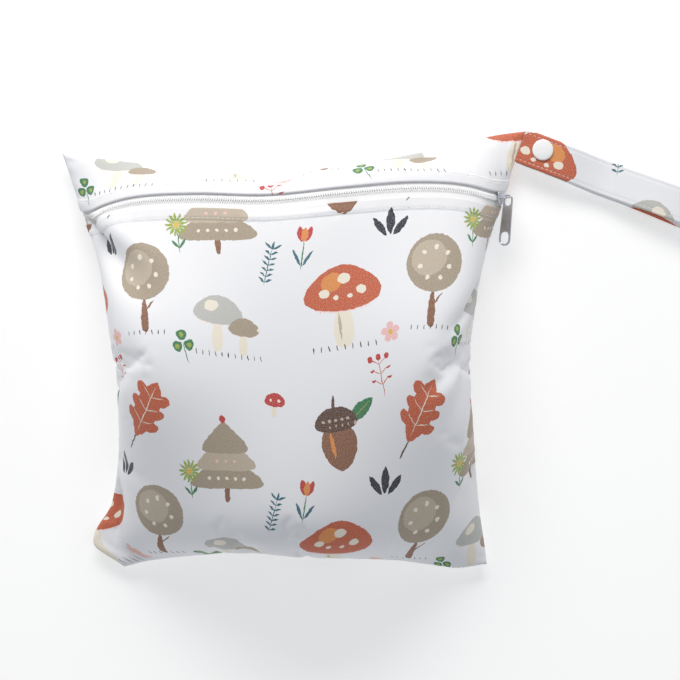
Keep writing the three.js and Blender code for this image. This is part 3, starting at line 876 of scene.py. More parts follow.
    def stitches(self, name: str, edge: float, towards: float) -> bpy.types.Object:
        """The topstitching of one hem.

        Args:
            name: The piece's name.
            edge: The hem's edge as a t.
            towards: Which way the hem lies from its edge, 1 up or -1 down.

        Returns:
            The joined stitches.
        """
        form, hem = self.pouch.form, self.hem
        template = stitch_template((1.05, 0.2, 0.16))
        half = form.flat_width / 2
        s = np.arange(-half + 4.0, half - 4.0, hem.stitch_pitch) / half
        t = np.full_like(s, edge + towards * 2 * hem.stitch_at / form.flat_height)
        height = form.cloth + hem.extra - hem.stitch_dip * 0.55
        return copies(template, self.pouch.frames_along(s, t, height), name)

    def make(self) -> list[bpy.types.Object]:
        form, hem = self.pouch.form, self.hem
        half = form.flat_height / 2
        band = form.band_edge * half + hem.fold_radius
        panel_edge = form.panel_edge - hem.set_back / half
        panel = panel_edge * half - hem.fold_radius
        step = 0.45

        def rows(start: float, end: float, hem_first: bool) -> np.ndarray:
            """Rows from start to end, close together in the hem."""
            reach = hem.width + 1.5
            if hem_first:
                close = np.arange(start, start + reach, step)
                rest = steps_between(close[-1], end, self.coarse, self.fine, self.near)[1:]
                return np.concatenate([close, rest]) / half
            close = np.arange(end, end - reach, -step)[::-1]
            rest = steps_between(start, close[0], self.coarse, self.fine, self.near)[:-1]
            return np.concatenate([rest, close]) / half

        cloth = self.finishes.printed
        front = self.build(
            "front_cloth", Face.FRONT, rows(-half, panel, False), panel_edge, (0.0, 0.0)
        )
        upper = self.build(
            "band_cloth", Face.FRONT, rows(band, half, True), form.band_edge, (0.071, 0.043)
        )
        back_rows = steps_between(-half, half, self.coarse, self.fine, self.near) / half
        back = self.build("back_cloth", Face.BACK, back_rows, None, (0.12, 0.31))
        finish_piece(front, BAG, cloth, ("front_panel",))
        finish_piece(upper, BAG, cloth, ("top_band",))
        finish_piece(back, BAG, cloth, ("back_panel",))
        thread = self.finishes.thread
        lower_row = self.stitches("hem_stitches_lower", panel_edge, -1.0)
        upper_row = self.stitches("hem_stitches_upper", form.band_edge, 1.0)
        finish_piece(lower_row, BAG, thread, ())
        finish_piece(upper_row, BAG, thread, ())
        return [front, upper, back]


def shape_outline(obj: bpy.types.Object, outline: list[tuple[float, float]], low: float) -> None:
    """Moves a circle primitive's vertices onto an outline at a height, in millimetres."""
    for vertex, (x, y) in zip(obj.data.vertices, outline):
        vertex.co = Vector((x, y, low)) * MM


def plate(
    name: str, outline: list[tuple[float, float]], low: float, high: float, bevel: float
) -> bpy.types.Object:
    """A flat plate with rounded edges.

    Args:
        name: Its name.
        outline: Its corners in order, in millimetres.
        low: Height of its underside.
        high: Height of its top.
        bevel: Radius of its edges.

    Returns:
        The plate.
    """
    deselect()
    bpy.ops.mesh.primitive_circle_add(vertices=len(outline), fill_type="NGON")
    obj = bpy.context.object
    obj.name = obj.data.name = name
    shape_outline(obj, outline, low)
    edit(obj)
    lift = (0.0, 0.0, (high - low) * MM)
    bpy.ops.mesh.extrude_region_move(TRANSFORM_OT_translate={"value": lift})
    bpy.ops.mesh.select_all(action="SELECT")
    bpy.ops.mesh.normals_make_consistent(inside=False)
    bpy.ops.object.mode_set(mode="OBJECT")
    rounding = obj.modifiers.new("rounding", "BEVEL")
    rounding.width = bevel * MM
    rounding.segments = 3
    rounding.limit_method = "ANGLE"
    rounding.angle_limit = math.radians(40)
    apply_modifiers(obj)
    return obj


def wire(
    name: str, points: list[tuple[float, float, float]], radius: float, closed: bool
) -> bpy.types.Object:
    """A round wire through points in millimetres, as a mesh."""
    curve = bpy.data.curves.new(name, "CURVE")
    curve.dimensions = "3D"
    curve.bevel_depth = radius * MM
    curve.bevel_resolution = 3
    curve.use_fill_caps = True
    spline = curve.splines.new("POLY")
    spline.points.add(len(points) - 1)
    for place, point in zip(spline.points, points):
        place.co = (point[0] * MM, point[1] * MM, point[2] * MM, 1.0)
    spline.use_cyclic_u = closed
    obj = bpy.data.objects.new(name, curve)
    bpy.context.scene.collection.objects.link(obj)
    activate(obj)
    bpy.ops.object.convert(target="MESH")
    return bpy.context.object


def arc(
    centre: tuple[float, float], radius: float, start: float, end: float, count: int
) -> list[tuple[float, float]]:
    """Points of an arc, its angles in degrees."""
    angles = np.radians(np.linspace(start, end, count))
    return [(centre[0] + radius * math.cos(a), centre[1] + radius * math.sin(a)) for a in angles]


def smooth_by_angle(obj: bpy.types.Object, degrees: float = 35.0) -> None:
    """Shades a piece smooth across its blunt edges."""
    activate(obj)
    bpy.ops.object.shade_smooth_by_angle(angle=math.radians(degrees))


def turned(
    name: str,
    profile: list[tuple[float, float]],
    centre: tuple[float, float, float],
    sides: int = 48,
) -> bpy.types.Object:
    """A round part, grown ring by ring from a disc.

    Args:
        name: Its name.
        profile: Radii and heights, from its first disc to its last, in millimetres.
        centre: Where its axis stands.
        sides: How many sides its rings have.

    Returns:
        The part.
    """
    deselect()
    radius, height = profile[0]
    x, y, z = (value * MM for value in centre)
    bpy.ops.mesh.primitive_circle_add(
        vertices=sides, radius=radius * MM, fill_type="NGON", location=(x, y, z + height * MM)
    )
    obj = bpy.context.object
    obj.name = obj.data.name = name
    bpy.ops.object.transform_apply(location=True, rotation=True, scale=True)
    edit(obj)
    for next_radius, next_height in profile[1:]:
        lift = (0.0, 0.0, (next_height - height) * MM)
        bpy.ops.mesh.extrude_region_move(TRANSFORM_OT_translate={"value": lift})
        share = next_radius / radius
        middle = (x, y, z + next_height * MM)
        bpy.ops.transform.resize(value=(share, share, 1.0), center_override=middle)
        radius, height = next_radius, next_height
    bpy.ops.mesh.select_all(action="SELECT")
    bpy.ops.mesh.normals_make_consistent(inside=False)
    bpy.ops.object.mode_set(mode="OBJECT")
    smooth_by_angle(obj)
    return obj


@dataclass
class ZipChain:
    """The zip's two woven tapes and its coil."""

    pouch: StuffedPouch
    finishes: "Finishes"
    under: float = 6.0
    thick: float = 0.8
    gap: float = 0.3
    split: float = 0.5
    end_inset: float = 2.0
    tape_inset: float = 0.4
    pitch: float = 1.45
    tooth_length: float = 2.75
    tooth_width: float = 0.68
    tooth_height: float = 1.15
    tooth_sunk: float = 0.12

    def tape(self, name: str, low: float, high: float, node: str) -> bpy.types.Object:
        """One tape between two places up the front."""
        form = self.pouch.form
        end = 1 - 2 * self.tape_inset / form.flat_width
        s, t = np.meshgrid(np.linspace(-end, end, 220), np.linspace(low, high, 16))
        from_seam = (1 - np.abs(s)) * form.flat_width / 2
        points = self.pouch.outside(Face.FRONT, s, t, -self.gap * ease(0.0, 3.0, from_seam))
        obj = grid_object(name, points * MM)
        flat = np.stack([s * form.flat_width / 2 * MM, t * form.flat_height / 2 * MM], axis=-1)
        set_flat_map(obj, flat.reshape(-1, 2))
        add_wall(obj, self.thick)
        smooth_by_angle(obj)
        return finish_piece(obj, BAG, self.finishes.tape, (node,))

    def coil(self, skip: tuple[float, float]) -> bpy.types.Object:
        """The two rows of nylon teeth.

        Args:
            skip: The stretch of the zip, in millimetres, that the slider's post fills.

        Returns:
            The joined teeth.
        """
        form = self.pouch.form
        deselect()
        bpy.ops.mesh.primitive_uv_sphere_add(segments=8, ring_count=7, radius=1.0)
        template = bpy.context.object
        for vertex in template.data.vertices:
            x, y, z = vertex.co
            y = math.copysign(abs(y) ** 0.55, y)
            size = (self.tooth_width, self.tooth_length, self.tooth_height)
            vertex.co = (x * size[0] / 2, y * size[1] / 2, z * size[2] / 2)
        template.data.transform(Matrix.Scale(MM, 4))
        bpy.ops.object.shade_smooth()
        half = form.flat_width / 2
        run = half - self.end_inset - 0.5
        at = np.arange(-run, run, self.pitch / 2)
        at = at[(at < skip[0]) | (at > skip[1])]
        side = np.where(np.arange(len(at)) % 2 == 0, 1.0, -1.0)
        s = at / half
        off = side * (2.2 - self.tooth_length / 2)
        t = form.zip_middle + 2 * off / form.flat_height
        places = self.pouch.frames_along(s, t, self.tooth_height / 2 - self.tooth_sunk)
        obj = copies(template, places, "zip_teeth")
        return finish_piece(obj, BAG, self.finishes.nylon, ("zip_coil",))

    def make(self, skip: tuple[float, float]) -> None:
        """Makes the tapes and the coil."""
        form = self.pouch.form
        under = 2 * self.under / form.flat_height
        split = self.split / form.flat_height
        middle = form.zip_middle
        self.tape("tape_upper", middle + split, form.band_edge + under, "zip_tape_upper")
        self.tape("tape_lower", form.panel_edge - under, middle - split, "zip_tape_lower")
        self.coil(skip)


@dataclass
class Slider:
    """The zip's slider: two plates, side lips, a post between them and a wire bail."""

    form: BagForm
    finishes: "Finishes"
    from_seam: float = 8.0
    length: float = 10.5
    width: float = 8.6
    nose: float = 6.0
    thick: float = 1.0
    clearance: float = 0.35
    lip: float = 0.6
    coil_width: float = 4.4
    bail_radius: float = 0.65
    bail_length: float = 6.6
    bail_leg: float = 1.3
    bail_room: float = 0.6
    head_width: float = 6.8
    post_width: float = 1.5
    post_length: float = 2.0
    place: Matrix = field(init=False)
    out: np.ndarray = field(init=False)

    def __post_init__(self) -> None:
        """Finds where the slider sits on the zip."""
        s = np.array([self.share])
        t = np.array([self.form.zip_middle])
        face = Face.FRONT
        out = surface_normal(self.form.point, face, s, t)[0]
        along = unit(self.form.point(face, s + 0.03, t) - self.form.point(face, s - 0.03, t))[0]
        across = unit(np.cross(out, along))
        self.out = unit(np.cross(along, across))
        self.place = frame_matrix(along, across, self.out, self.form.point(face, s, t)[0])

    @property
    def share(self) -> float:
        """Where the slider's middle is, as an s."""
        return 1 - 2 * self.from_seam / self.form.flat_width

    @property
    def outer_low(self) -> float:
        """Underside of the outer plate."""
        return self.form.cloth + 0.6 + self.clearance

    @property
    def bail_height(self) -> float:
        """Height of the bail's bar."""
        top = self.outer_low + self.thick
        return top + self.clearance + self.bail_room + self.head_width / 2

    def outline(self, shrink: float = 0.0) -> list[tuple[float, float]]:
        """The plates' outline, wide at the back and narrow at the nose."""
        half, wide, nose = self.length / 2 - shrink, self.width / 2 - shrink, self.nose / 2 - shrink
        upper = [(-half, wide - 1.6), (-half + 0.45, wide - 0.5), (-half + 1.5, wide)]
        upper += [(half * 0.1, wide), (half * 0.45, wide - 0.35), (half * 0.8, nose + 0.25)]
        upper += [(half - 0.35, nose - 0.4), (half, nose - 1.2)]
        return [(x, -y) for x, y in upper] + [(x, y) for x, y in reversed(upper)]

    def make(self) -> bpy.types.Object:
        """Makes the slider as one casting."""
        low, high = self.outer_low, self.outer_low + self.thick
        inner_high = -0.3 - 0.8 - self.clearance
        inner_low = inner_high - self.thick
        parts = [
            plate("slider_outer", self.outline(), low, high, 0.38),
            plate("slider_crown", self.outline(1.5), high - 0.2, high + 0.28, 0.2),
            plate("slider_inner", self.outline(), inner_low, inner_high, 0.3),
        ]
        near = self.coil_width / 2 + self.clearance
        for side in (-1, 1):
            edges = sorted((side * near, side * (near + self.lip)))
            start, end = -self.length / 2 + 0.6, self.length * 0.1
            ring = [(start, edges[0]), (end, edges[0]), (end, edges[1]), (start, edges[1])]
            parts.append(plate("slider_lip", ring, 0.3, low + 0.4, 0.15))
        tip = self.length / 2 - 0.6
        half = self.post_width / 2
        heel = tip - self.post_length
        ring = [(heel, -half), (tip, -half), (tip, half), (heel, half)]
        parts.append(plate("slider_post", ring, inner_high - 0.3, low + 0.3, 0.15))
        reach = self.bail_length / 2 + self.bail_leg / 2
        bend = 1.3
        top, foot = self.bail_height, high - 0.2
        route = [(-reach, 0.0, foot)]
        route += [(x, 0.0, z) for x, z in arc((-reach + bend, top - bend), bend, 180, 90, 7)]
        route += [(x, 0.0, z) for x, z in arc((reach - bend, top - bend), bend, 90, 0, 7)]
        route.append((reach, 0.0, foot))
        parts.append(wire("slider_bail", route, self.bail_radius, False))
        for side in (-1, 1):
            ring = arc((side * reach, 0.0), 1.05, 0, 342, 20)
            parts.append(plate("slider_foot", ring, high - 0.1, high + 0.35, 0.12))
        body = join(parts, "slider_body")
        body.data.transform(self.place)
        smooth_by_angle(body)
        return finish_piece(body, BAG, self.finishes.nickel, ("zip_slider",))


@dataclass
class PullTab:
    """The flat tapered tab with a hole at each end and raised rims."""

    slider: Slider
    finishes: "Finishes"
    length: float = 34.0
    tail_width: float = 8.6
    thick: float = 1.3
    web: float = 0.8
    rim: float = 1.2
    head_hole: float = 6.2
    tail_hole_width: float = 5.6
    tail_hole_length: float = 7.6
    tail_rim: float = 1.5
    droop: float = 6.0
    lean: float = 5.0
    bead: float = 0.5

    def place(self) -> Matrix:
        """The tab's own frame: X is its width, Y runs to its tail and Z is its thickness."""
        droop, lean = math.radians(self.droop), math.radians(self.lean)
        length = np.array(
            [
                -math.sin(lean) * math.cos(droop),
                -math.cos(lean) * math.cos(droop),
                -math.sin(droop),
            ]
        )
        out = self.slider.out
        width = unit(out - length * float(out @ length))
        pivot = self.slider.place @ Vector((0, 0, self.slider.bail_height * MM))
        return frame_matrix(width, length, np.cross(width, length), np.array(pivot) / MM)

    def slot(self, width: float, low: float, high: float, grow: float) -> list[tuple[float, float]]:
        """A round-ended hole's outline, made wider by grow."""
        radius = width / 2
        lower = arc((0.0, low + radius), radius + grow, 180, 360, 25)
        return lower + arc((0.0, high - radius), radius + grow, 0, 180, 25)

    def make(self) -> bpy.types.Object:
        """Makes the tab: a thin web with a raised bead along each of its edges."""
        head_width = self.slider.head_width
        to_end = self.rim + self.slider.clearance + self.slider.bail_radius
        head, tail = -to_end, self.length - to_end

        def outline(shrink: float) -> list[tuple[float, float]]:
            """The tab's outer outline, drawn in by shrink."""
            small = head_width / 2
            large = self.tail_width / 2
            lower = arc((0.0, head + small), small - shrink, 180, 360, 33)
            return lower + arc((0.0, tail - large), large - shrink, 0, 180, 33)

        first = (head_width - 2 * self.rim, head + self.rim, head + self.rim + self.head_hole)
        last_end = tail - self.tail_rim
        last = (self.tail_hole_width, last_end - self.tail_hole_length, last_end)
        curve = bpy.data.curves.new("tab_web", "CURVE")
        curve.dimensions = "2D"
        curve.fill_mode = "BOTH"
        curve.extrude = self.web / 2 * MM
        for ring in (outline(self.bead * 0.8), self.slot(*first, 0.3), self.slot(*last, 0.3)):
            spline = curve.splines.new("POLY")
            spline.points.add(len(ring) - 1)
            for point, (x, y) in zip(spline.points, ring):
                point.co = (x * MM, y * MM, 0.0, 1.0)
            spline.use_cyclic_u = True
        web = bpy.data.objects.new("tab_web", curve)
        bpy.context.scene.collection.objects.link(web)
        activate(web)
        bpy.ops.object.convert(target="MESH")
        web = bpy.context.object
        bead = self.bead
        beads = [
            wire("tab_edge", [(x, y, 0.0) for x, y in outline(bead)], bead, True),
            wire("tab_head_rim", [(x, y, 0.0) for x, y in self.slot(*first, bead)], bead, True),
            wire("tab_tail_rim", [(x, y, 0.0) for x, y in self.slot(*last, bead)], bead, True),
        ]
        tab = join([web, *beads], "tab_plate")
        tab.data.transform(Matrix.Diagonal((1.0, 1.0, self.thick / (2 * bead), 1.0)))
        tab.data.transform(self.place())
        smooth_by_angle(tab)
        return finish_piece(tab, PULL, self.finishes.nickel, ("pull_tab",))


@dataclass
class WristStrap:
    """The cloth strap: sewn in the side seam, folded back and snapped to itself."""

    form: BagForm
    finishes: "Finishes"
    width: float = 23.0
    thick: float = 1.6
    loop: float = 150.0
    angle: float = -20.5
    in_seam: float = 4.0
    root_width: float = 17.0
    level_to: float = 26.0
    settled: float = 62.0
    snap_space: float = 3.4
    fold_gap: float = 11.0
    fold_shift: float = 1.6
    free_end: float = -0.6
    snap_from_seam: float = 14.5
    snap_aside: float = 2.2
    step: float = 1.6
    root: np.ndarray = field(init=False)
    level: float = field(init=False)

    def __post_init__(self) -> None:
        """Finds the strap's root in the seam."""
        one, at = np.ones(1), np.full(1, self.form.strap_root_at)
        self.root = self.form.smooth_point(Face.FRONT, one, at)[0]
        self.level = float(self.form.seam_level(one, at)[0])

    @property
    def heading(self) -> np.ndarray:
        """The way that the strap runs, seen from above."""
        turn = math.radians(self.angle)
        return np.array([math.cos(turn), math.sin(turn), 0.0])

    @property
    def side(self) -> np.ndarray:
        """Towards the strap's upper edge."""
        heading = self.heading
        return np.array([-heading[1], heading[0], 0.0])

    def point(self, distance: float, height: float, sideways: float) -> np.ndarray:
        """A point by its distance from the seam, its height and its offset."""
        place = self.root * np.array([1.0, 1.0, 0.0])
        place = place + self.heading * distance + self.side * sideways
        place[2] = height
        return place

    def lower(self, distance: float) -> float:
        """Height of the lower layer's middle."""
        drop = float(ease(self.level_to, self.settled, np.array(distance)))
        return float(mix(self.level, self.thick / 2, drop))

    def upper(self, distance: float) -> float:
        """Height of the upper layer's middle."""
        opened = float(ease(self.level_to, self.loop * 0.75, np.array(distance)))
        space = float(mix(self.snap_space, self.fold_gap, opened))
        return self.lower(distance) + self.thick + space

    def stations(self) -> list[tuple[np.ndarray, np.ndarray, float]]:
        """Middle points of the strap's route, with their upward directions and widths."""
        radius = (self.fold_gap + self.thick) / 2
        turn_at = self.loop - radius
        made = []

        def add(
            distance: float, height: float, out: float, up: float, width: float, aside: float
        ) -> None:
            """Adds one station."""
            forward = unit(self.heading * out + np.array([0.0, 0.0, up]))
            normal = unit(np.cross(forward, self.side))
            made.append((self.point(distance, height, aside), normal, width))

        for distance in np.arange(-self.in_seam, turn_at, self.step):
            rise = self.lower(distance + 0.5) - self.lower(distance - 0.5)
            width = float(mix(self.root_width, self.width, ease(-0.6, 1.2, np.array(distance))))
            aside = -self.fold_shift * float(ease(0, turn_at, np.array(distance)))
            aside += 0.25 * math.sin(distance / 11.0) * float(ease(20, 60, np.array(distance)))
            add(distance, self.lower(distance), 1.0, rise, width, aside)
        for turn in np.linspace(0.0, math.pi, 19)[1:-1]:
            height = self.thick / 2 + radius * (1 - math.cos(turn))
            aside = -self.fold_shift * (1 - turn / math.pi)
            distance = turn_at + radius * math.sin(turn)
            add(distance, height, math.cos(turn), math.sin(turn), self.width, aside)
        for distance in np.arange(turn_at, self.free_end, -self.step):
            rise = self.upper(distance + 0.5) - self.upper(distance - 0.5)
            ripple = 0.22 * math.sin(distance / 8.0 + 1.0) * float(ease(30, 60, np.array(distance)))
            near_end = 1 - float(ease(self.free_end, self.free_end + 1.5, np.array(distance)))
            width = self.width - 1.4 * near_end
            aside = 0.2 * math.sin(distance / 14.0 + 0.5) * float(ease(20, 60, np.array(distance)))
            add(distance, self.upper(distance) + ripple, -1.0, -rise, width, aside)
        return made

    def section(self) -> list[tuple[float, float]]:
        """The band's section: across as a share of half its width, and height."""
        half = self.thick / 2
        inset = np.array([0.0, 0.35, 0.75, 1.3, 2.1, 2.5, 2.9, 4.5, 8.0])
        height = np.array([0.0, 0.55, 0.82, 0.97, 0.94, 0.78, 0.94, 1.0, 0.92]) * half
        across = 1 - inset / (self.width / 2)
        upper = [(float(a), float(h)) for a, h in zip(across, height)]
        upper += [(0.0, 0.9 * half)]
        upper += [(-a, h) for a, h in reversed(upper[:-1])]
        return upper + [(a, -h) for a, h in reversed(upper[1:-1])]

    def make(self) -> bpy.types.Object:
        """Makes the strap as one closed band."""
        ring = self.section()
        stations = self.stations()
        rows = []
        for middle, normal, width in stations:
            rows.append([middle + self.side * (a * width / 2) + normal * h for a, h in ring])
        rows = [np.array(row) for row in rows]
        points = np.array([np.vstack([row, row[:1]]) for row in rows])
        obj = grid_object("strap_band", points * MM)
        along = np.concatenate(
            [[0.0], np.cumsum(np.linalg.norm(np.diff([m for m, _, _ in stations], axis=0), axis=1))]
        )
        around = np.concatenate(
            [[0.0], np.cumsum(np.linalg.norm(np.diff(points[len(points) // 3], axis=0), axis=1))]
        )
        flat = np.stack(np.meshgrid(around, along), axis=-1)[..., ::-1] * MM
        set_flat_map(obj, flat.reshape(-1, 2) + np.array([0.117, 0.01]))
        set_mask(obj, "hem", np.zeros(flat.shape[:2]))
        edit(obj)
        bpy.ops.mesh.remove_doubles(threshold=1e-6)
        bpy.ops.mesh.select_all(action="DESELECT")
        bpy.ops.mesh.select_non_manifold(extend=False)
        bpy.ops.mesh.fill_holes(sides=0)
        bpy.ops.mesh.select_all(action="SELECT")
        bpy.ops.mesh.normals_make_consistent(inside=False)
        bpy.ops.object.mode_set(mode="OBJECT")
        smooth_by_angle(obj, 60.0)
        return finish_piece(obj, BAG, self.finishes.printed, ("wrist_strap",))

    def stitches(self) -> bpy.types.Object:
        """The stitching beside both long edges of the strap's upper layer."""
        template = stitch_template((1.0, 0.18, 0.14))
        stations = self.stations()
        middles = np.array([m for m, _, _ in stations])
        normals = np.array([n for _, n, _ in stations])
        along = np.concatenate([[0.0], np.cumsum(np.linalg.norm(np.diff(middles, axis=0), axis=1))])
        places = []
        for at in np.arange(self.in_seam + 2.0, along[-1] - 2.0, 3.0):
            middle = np.array([np.interp(at, along, middles[:, i]) for i in range(3)])
            ahead = np.array([np.interp(at + 0.5, along, middles[:, i]) for i in range(3)])
            normal = unit(np.array([np.interp(at, along, normals[:, i]) for i in range(3)]))
            forward = unit(ahead - middle)
            for edge in (-1, 1):
                for layer in (-1, 1):
                    centre = middle + self.side * edge * (self.width / 2 - 2.5)
                    centre = centre + normal * layer * self.thick / 2 * 0.88
                    places.append(frame_matrix(forward, np.cross(normal, forward), normal, centre))
        obj = copies(template, places, "strap_stitches")
        return finish_piece(obj, BAG, self.finishes.thread, ())


@dataclass
class Snap:
    """The plastic snap: a cap outside each layer and the mating halves between them."""

    strap: WristStrap
    finishes: "Finishes"
    radius: float = 6.9
    thick: float = 1.2
    dome: float = 0.5
    gap: float = 0.3
    post: float = 1.1

    def make(self) -> None:
        """Makes the snap's two caps and gives the two imported mating halves the same plastic."""
        strap = self.strap
        x, y, _ = strap.point(strap.snap_from_seam, 0.0, strap.snap_aside)
        lower_face = strap.level - strap.thick / 2
        upper_face = lower_face + strap.thick + strap.snap_space
        top, r = upper_face + strap.thick, self.radius
        cap = [(self.post, -strap.thick), (self.post, self.gap - 0.2), (r - 0.7, self.gap - 0.2)]
        cap += [(r - 0.25, self.gap - 0.05), (r, self.gap + 0.2), (r, self.gap + self.thick * 0.45)]
        cap += [(r - 0.15, self.gap + self.thick * 0.7), (r - 0.5, self.gap + self.thick * 0.9)]
        outer = self.gap + self.thick
        cap += [(r - 1.1, outer + 0.02), (r * 0.6, outer + self.dome * 0.62)]
        cap += [(r * 0.3, outer + self.dome * 0.9)]
        cap += [(0.8, outer + self.dome), (0.3, outer + self.dome * 0.8)]
        upper = turned("snap_cap_upper", cap, (x, y, top))
        flat_cap = [(a, -min(h, self.gap + self.thick)) for a, h in cap]
        lower = turned("snap_cap_lower", flat_cap, (x, y, lower_face))
        plastic = self.finishes.plastic
        finish_piece(upper, BAG, plastic, ("snap_cap_top",))
        finish_piece(lower, BAG, plastic, ("snap_cap_bottom",))
        for node in ("snap_socket", "snap_stud"):
            dress_node(node, plastic)


def dress_node(node: str, material: bpy.types.Material) -> None:
    """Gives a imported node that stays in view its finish."""
    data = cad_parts[node].data
    data.materials.clear()
    data.materials.append(material)


class Ink(Enum):
    """The print's colours, as hexadecimal screen colours."""

    RUST = 0xC75A2C
    ORANGE = 0xE18C3C
    TAUPE = 0xA79781
    FAWN = 0xC0B19C
    BROWN = 0x8A5A3A
    DARK_BROWN = 0x593824
    STONE = 0xBFBFBA
    CREAM = 0xF1E8D6
    PINK = 0xF0BFBE
    BLUSH = 0xF7DAD6
    NAVY = 0x0E1328
    TEAL = 0x1D6574
    GREEN = 0x2F7A48
    LEAF = 0x97AA38
    RED = 0xC22F2B
    YELLOW = 0xE3B63C
    BLACK = 0x111217


class Repeat(Enum):
    """How one dab of a motif is repeated."""

    ONCE = "once"
    MIRRORED = "mirrored"
    ROW = "row"
    LEAFLETS = "leaflets"
    RING = "ring"


class Dab(NamedTuple):
    """One brush mark: a rounded or pointed spot, in millimetres.

    point is 0.5 for an oval, more for a leaf's tips and less for a blunt shape, and taper
    is how much wider it is at its upper end.
    """

    x: float
    y: float
    wide: float
    high: float
    ink: Ink
    turn: float = 0.0
    point: float = 0.5
    taper: float = 0.0
    repeat: Repeat = Repeat.ONCE
    pitch: float = 0.0
    count: int = 0
    about: tuple[float, float] = (0.0, 0.0)


class Motif(NamedTuple):
    """A drawing, where it stands on the print's tile, and its dabs from back to front."""

    name: str
    x: float
    y: float
    turn: float
    size: float
    dabs: tuple[Dab, ...]


MIRRORED, ROW, LEAFLETS, RING = Repeat.MIRRORED, Repeat.ROW, Repeat.LEAFLETS, Repeat.RING

TOADSTOOL = (
    Dab(0, -13, 6.5, 14, Ink.CREAM, point=0.35, taper=-0.28),
    Dab(-2.4, -14, 1.0, 9, Ink.FAWN, turn=4, point=0.8),
    Dab(0, -1.5, 19, 4.2, Ink.BLUSH),
    Dab(0, -3.4, 0.35, 2.4, Ink.PINK, repeat=ROW, pitch=3.0, count=5),
    Dab(0, 9, 24, 14, Ink.RUST, taper=-0.34),
    Dab(-7, 13, 7, 5.5, Ink.ORANGE, turn=22),
    Dab(1, 14.5, 4.2, 3.2, Ink.CREAM),
    Dab(12, 6.5, 3.4, 2.7, Ink.CREAM, repeat=MIRRORED),
    Dab(4.6, 3.4, 1.8, 1.4, Ink.CREAM, repeat=MIRRORED),
    Dab(0, -27, 0.4, 1.9, Ink.BLACK, turn=8, repeat=ROW, pitch=5.2, count=4),
)
ROUND_TREE = (
    Dab(0, -19, 2.5, 11, Ink.BROWN, point=0.3, taper=-0.35),
    Dab(4, -13, 0.7, 5.0, Ink.BROWN, turn=-38, point=0.7),
    Dab(0, 9, 19, 18, Ink.TAUPE),
    Dab(-4, 12, 12, 11, Ink.FAWN, turn=20),
    Dab(0, 10, 1.5, 1.5, Ink.CREAM, repeat=RING, count=7, about=(0, 9)),
    Dab(0, 9, 1.3, 1.3, Ink.CREAM, about=(0, 9)),
    Dab(0, -30, 0.4, 1.6, Ink.BLACK, turn=-6, repeat=ROW, pitch=4.4, count=3),
)
PALE_PAIR = (
    Dab(-7, -9, 3.4, 9, Ink.CREAM, point=0.35, taper=-0.2),
    Dab(9, -12, 2.6, 7, Ink.CREAM, point=0.35, taper=-0.2),
    Dab(-7, 0, 12.5, 2.6, Ink.BLUSH),
    Dab(-7, 6, 14.5, 8.5, Ink.STONE, taper=-0.3),
    Dab(-11, 8, 4.5, 3.2, Ink.CREAM, turn=16),
    Dab(9, -6.2, 7.6, 1.8, Ink.BLUSH),
    Dab(9, -2.4, 9, 5.4, Ink.TAUPE, taper=-0.3),
    Dab(9, -1.4, 1.2, 1.0, Ink.CREAM, repeat=RING, count=1, about=(9, -2)),
    Dab(0, -19.5, 0.35, 1.7, Ink.BLACK, turn=10, repeat=ROW, pitch=4.0, count=5),
)
ACORN = (
    Dab(17, 12, 4.2, 10.5, Ink.GREEN, turn=-58, point=0.95),
    Dab(17, 12, 0.35, 9.0, Ink.LEAF, turn=-58, point=0.9),
    Dab(0, 19, 1.1, 4.4, Ink.DARK_BROWN, turn=-10, point=0.4),
    Dab(0, -6, 11.5, 15, Ink.BROWN, point=0.62, taper=0.12),
    Dab(-4.4, -5, 1.5, 8, Ink.ORANGE, turn=4, point=0.8),
    Dab(0, 9.5, 13.5, 7.2, Ink.DARK_BROWN, point=0.42, taper=-0.22),
    Dab(0, 9.0, 1.1, 0.9, Ink.FAWN, repeat=ROW, pitch=4.0, count=2),
    Dab(2.0, 5.6, 1.1, 0.9, Ink.FAWN, repeat=ROW, pitch=4.0, count=2, about=(2, 0)),
)
OAK_LEAF = (
    Dab(0, -27, 0.7, 7.5, Ink.DARK_BROWN, point=0.4),
    Dab(0, 0, 9.5, 22, Ink.RUST, point=0.75),
    Dab(8.2, 1.5, 6.0, 4.0, Ink.RUST, turn=28, repeat=LEAFLETS, pitch=10.0, count=1),
    Dab(0, 0, 0.42, 20, Ink.CREAM, point=0.8),
    Dab(4.2, 1.8, 0.34, 5.4, Ink.CREAM, turn=-62, point=0.8, repeat=LEAFLETS, pitch=10.0, count=1),
)
FIR = (
    Dab(0, -24, 1.9, 6, Ink.BROWN, point=0.3),
    Dab(0, -10, 18, 11, Ink.TAUPE, point=0.22, taper=-0.9),
    Dab(0, 1, 14.5, 10.5, Ink.FAWN, point=0.22, taper=-0.9),
    Dab(0, 12, 11, 10.5, Ink.TAUPE, point=0.22, taper=-0.95),
    Dab(0, -14.5, 1.2, 1.2, Ink.CREAM, repeat=ROW, pitch=6.0, count=2),
    Dab(0, -3.5, 1.1, 1.1, Ink.PINK, repeat=ROW, pitch=6.0, count=1),
    Dab(0, 23, 2.2, 2.6, Ink.RED, point=0.7),
)
THREE_LEAVES = (
    Dab(0, 1.5, 2.9, 8.6, Ink.NAVY, point=0.85),
    Dab(6.6, -1.6, 2.4, 7.4, Ink.NAVY, turn=-38, point=0.85, repeat=MIRRORED),
)
CLOVER = (
    Dab(0.8, -7.5, 0.42, 6.5, Ink.GREEN, turn=6, point=0.6),
    Dab(0, 4.2, 3.5, 3.4, Ink.GREEN, taper=0.35, repeat=RING, count=3),
    Dab(0, 4.6, 1.5, 1.7, Ink.LEAF, taper=0.3, repeat=RING, count=3),
)
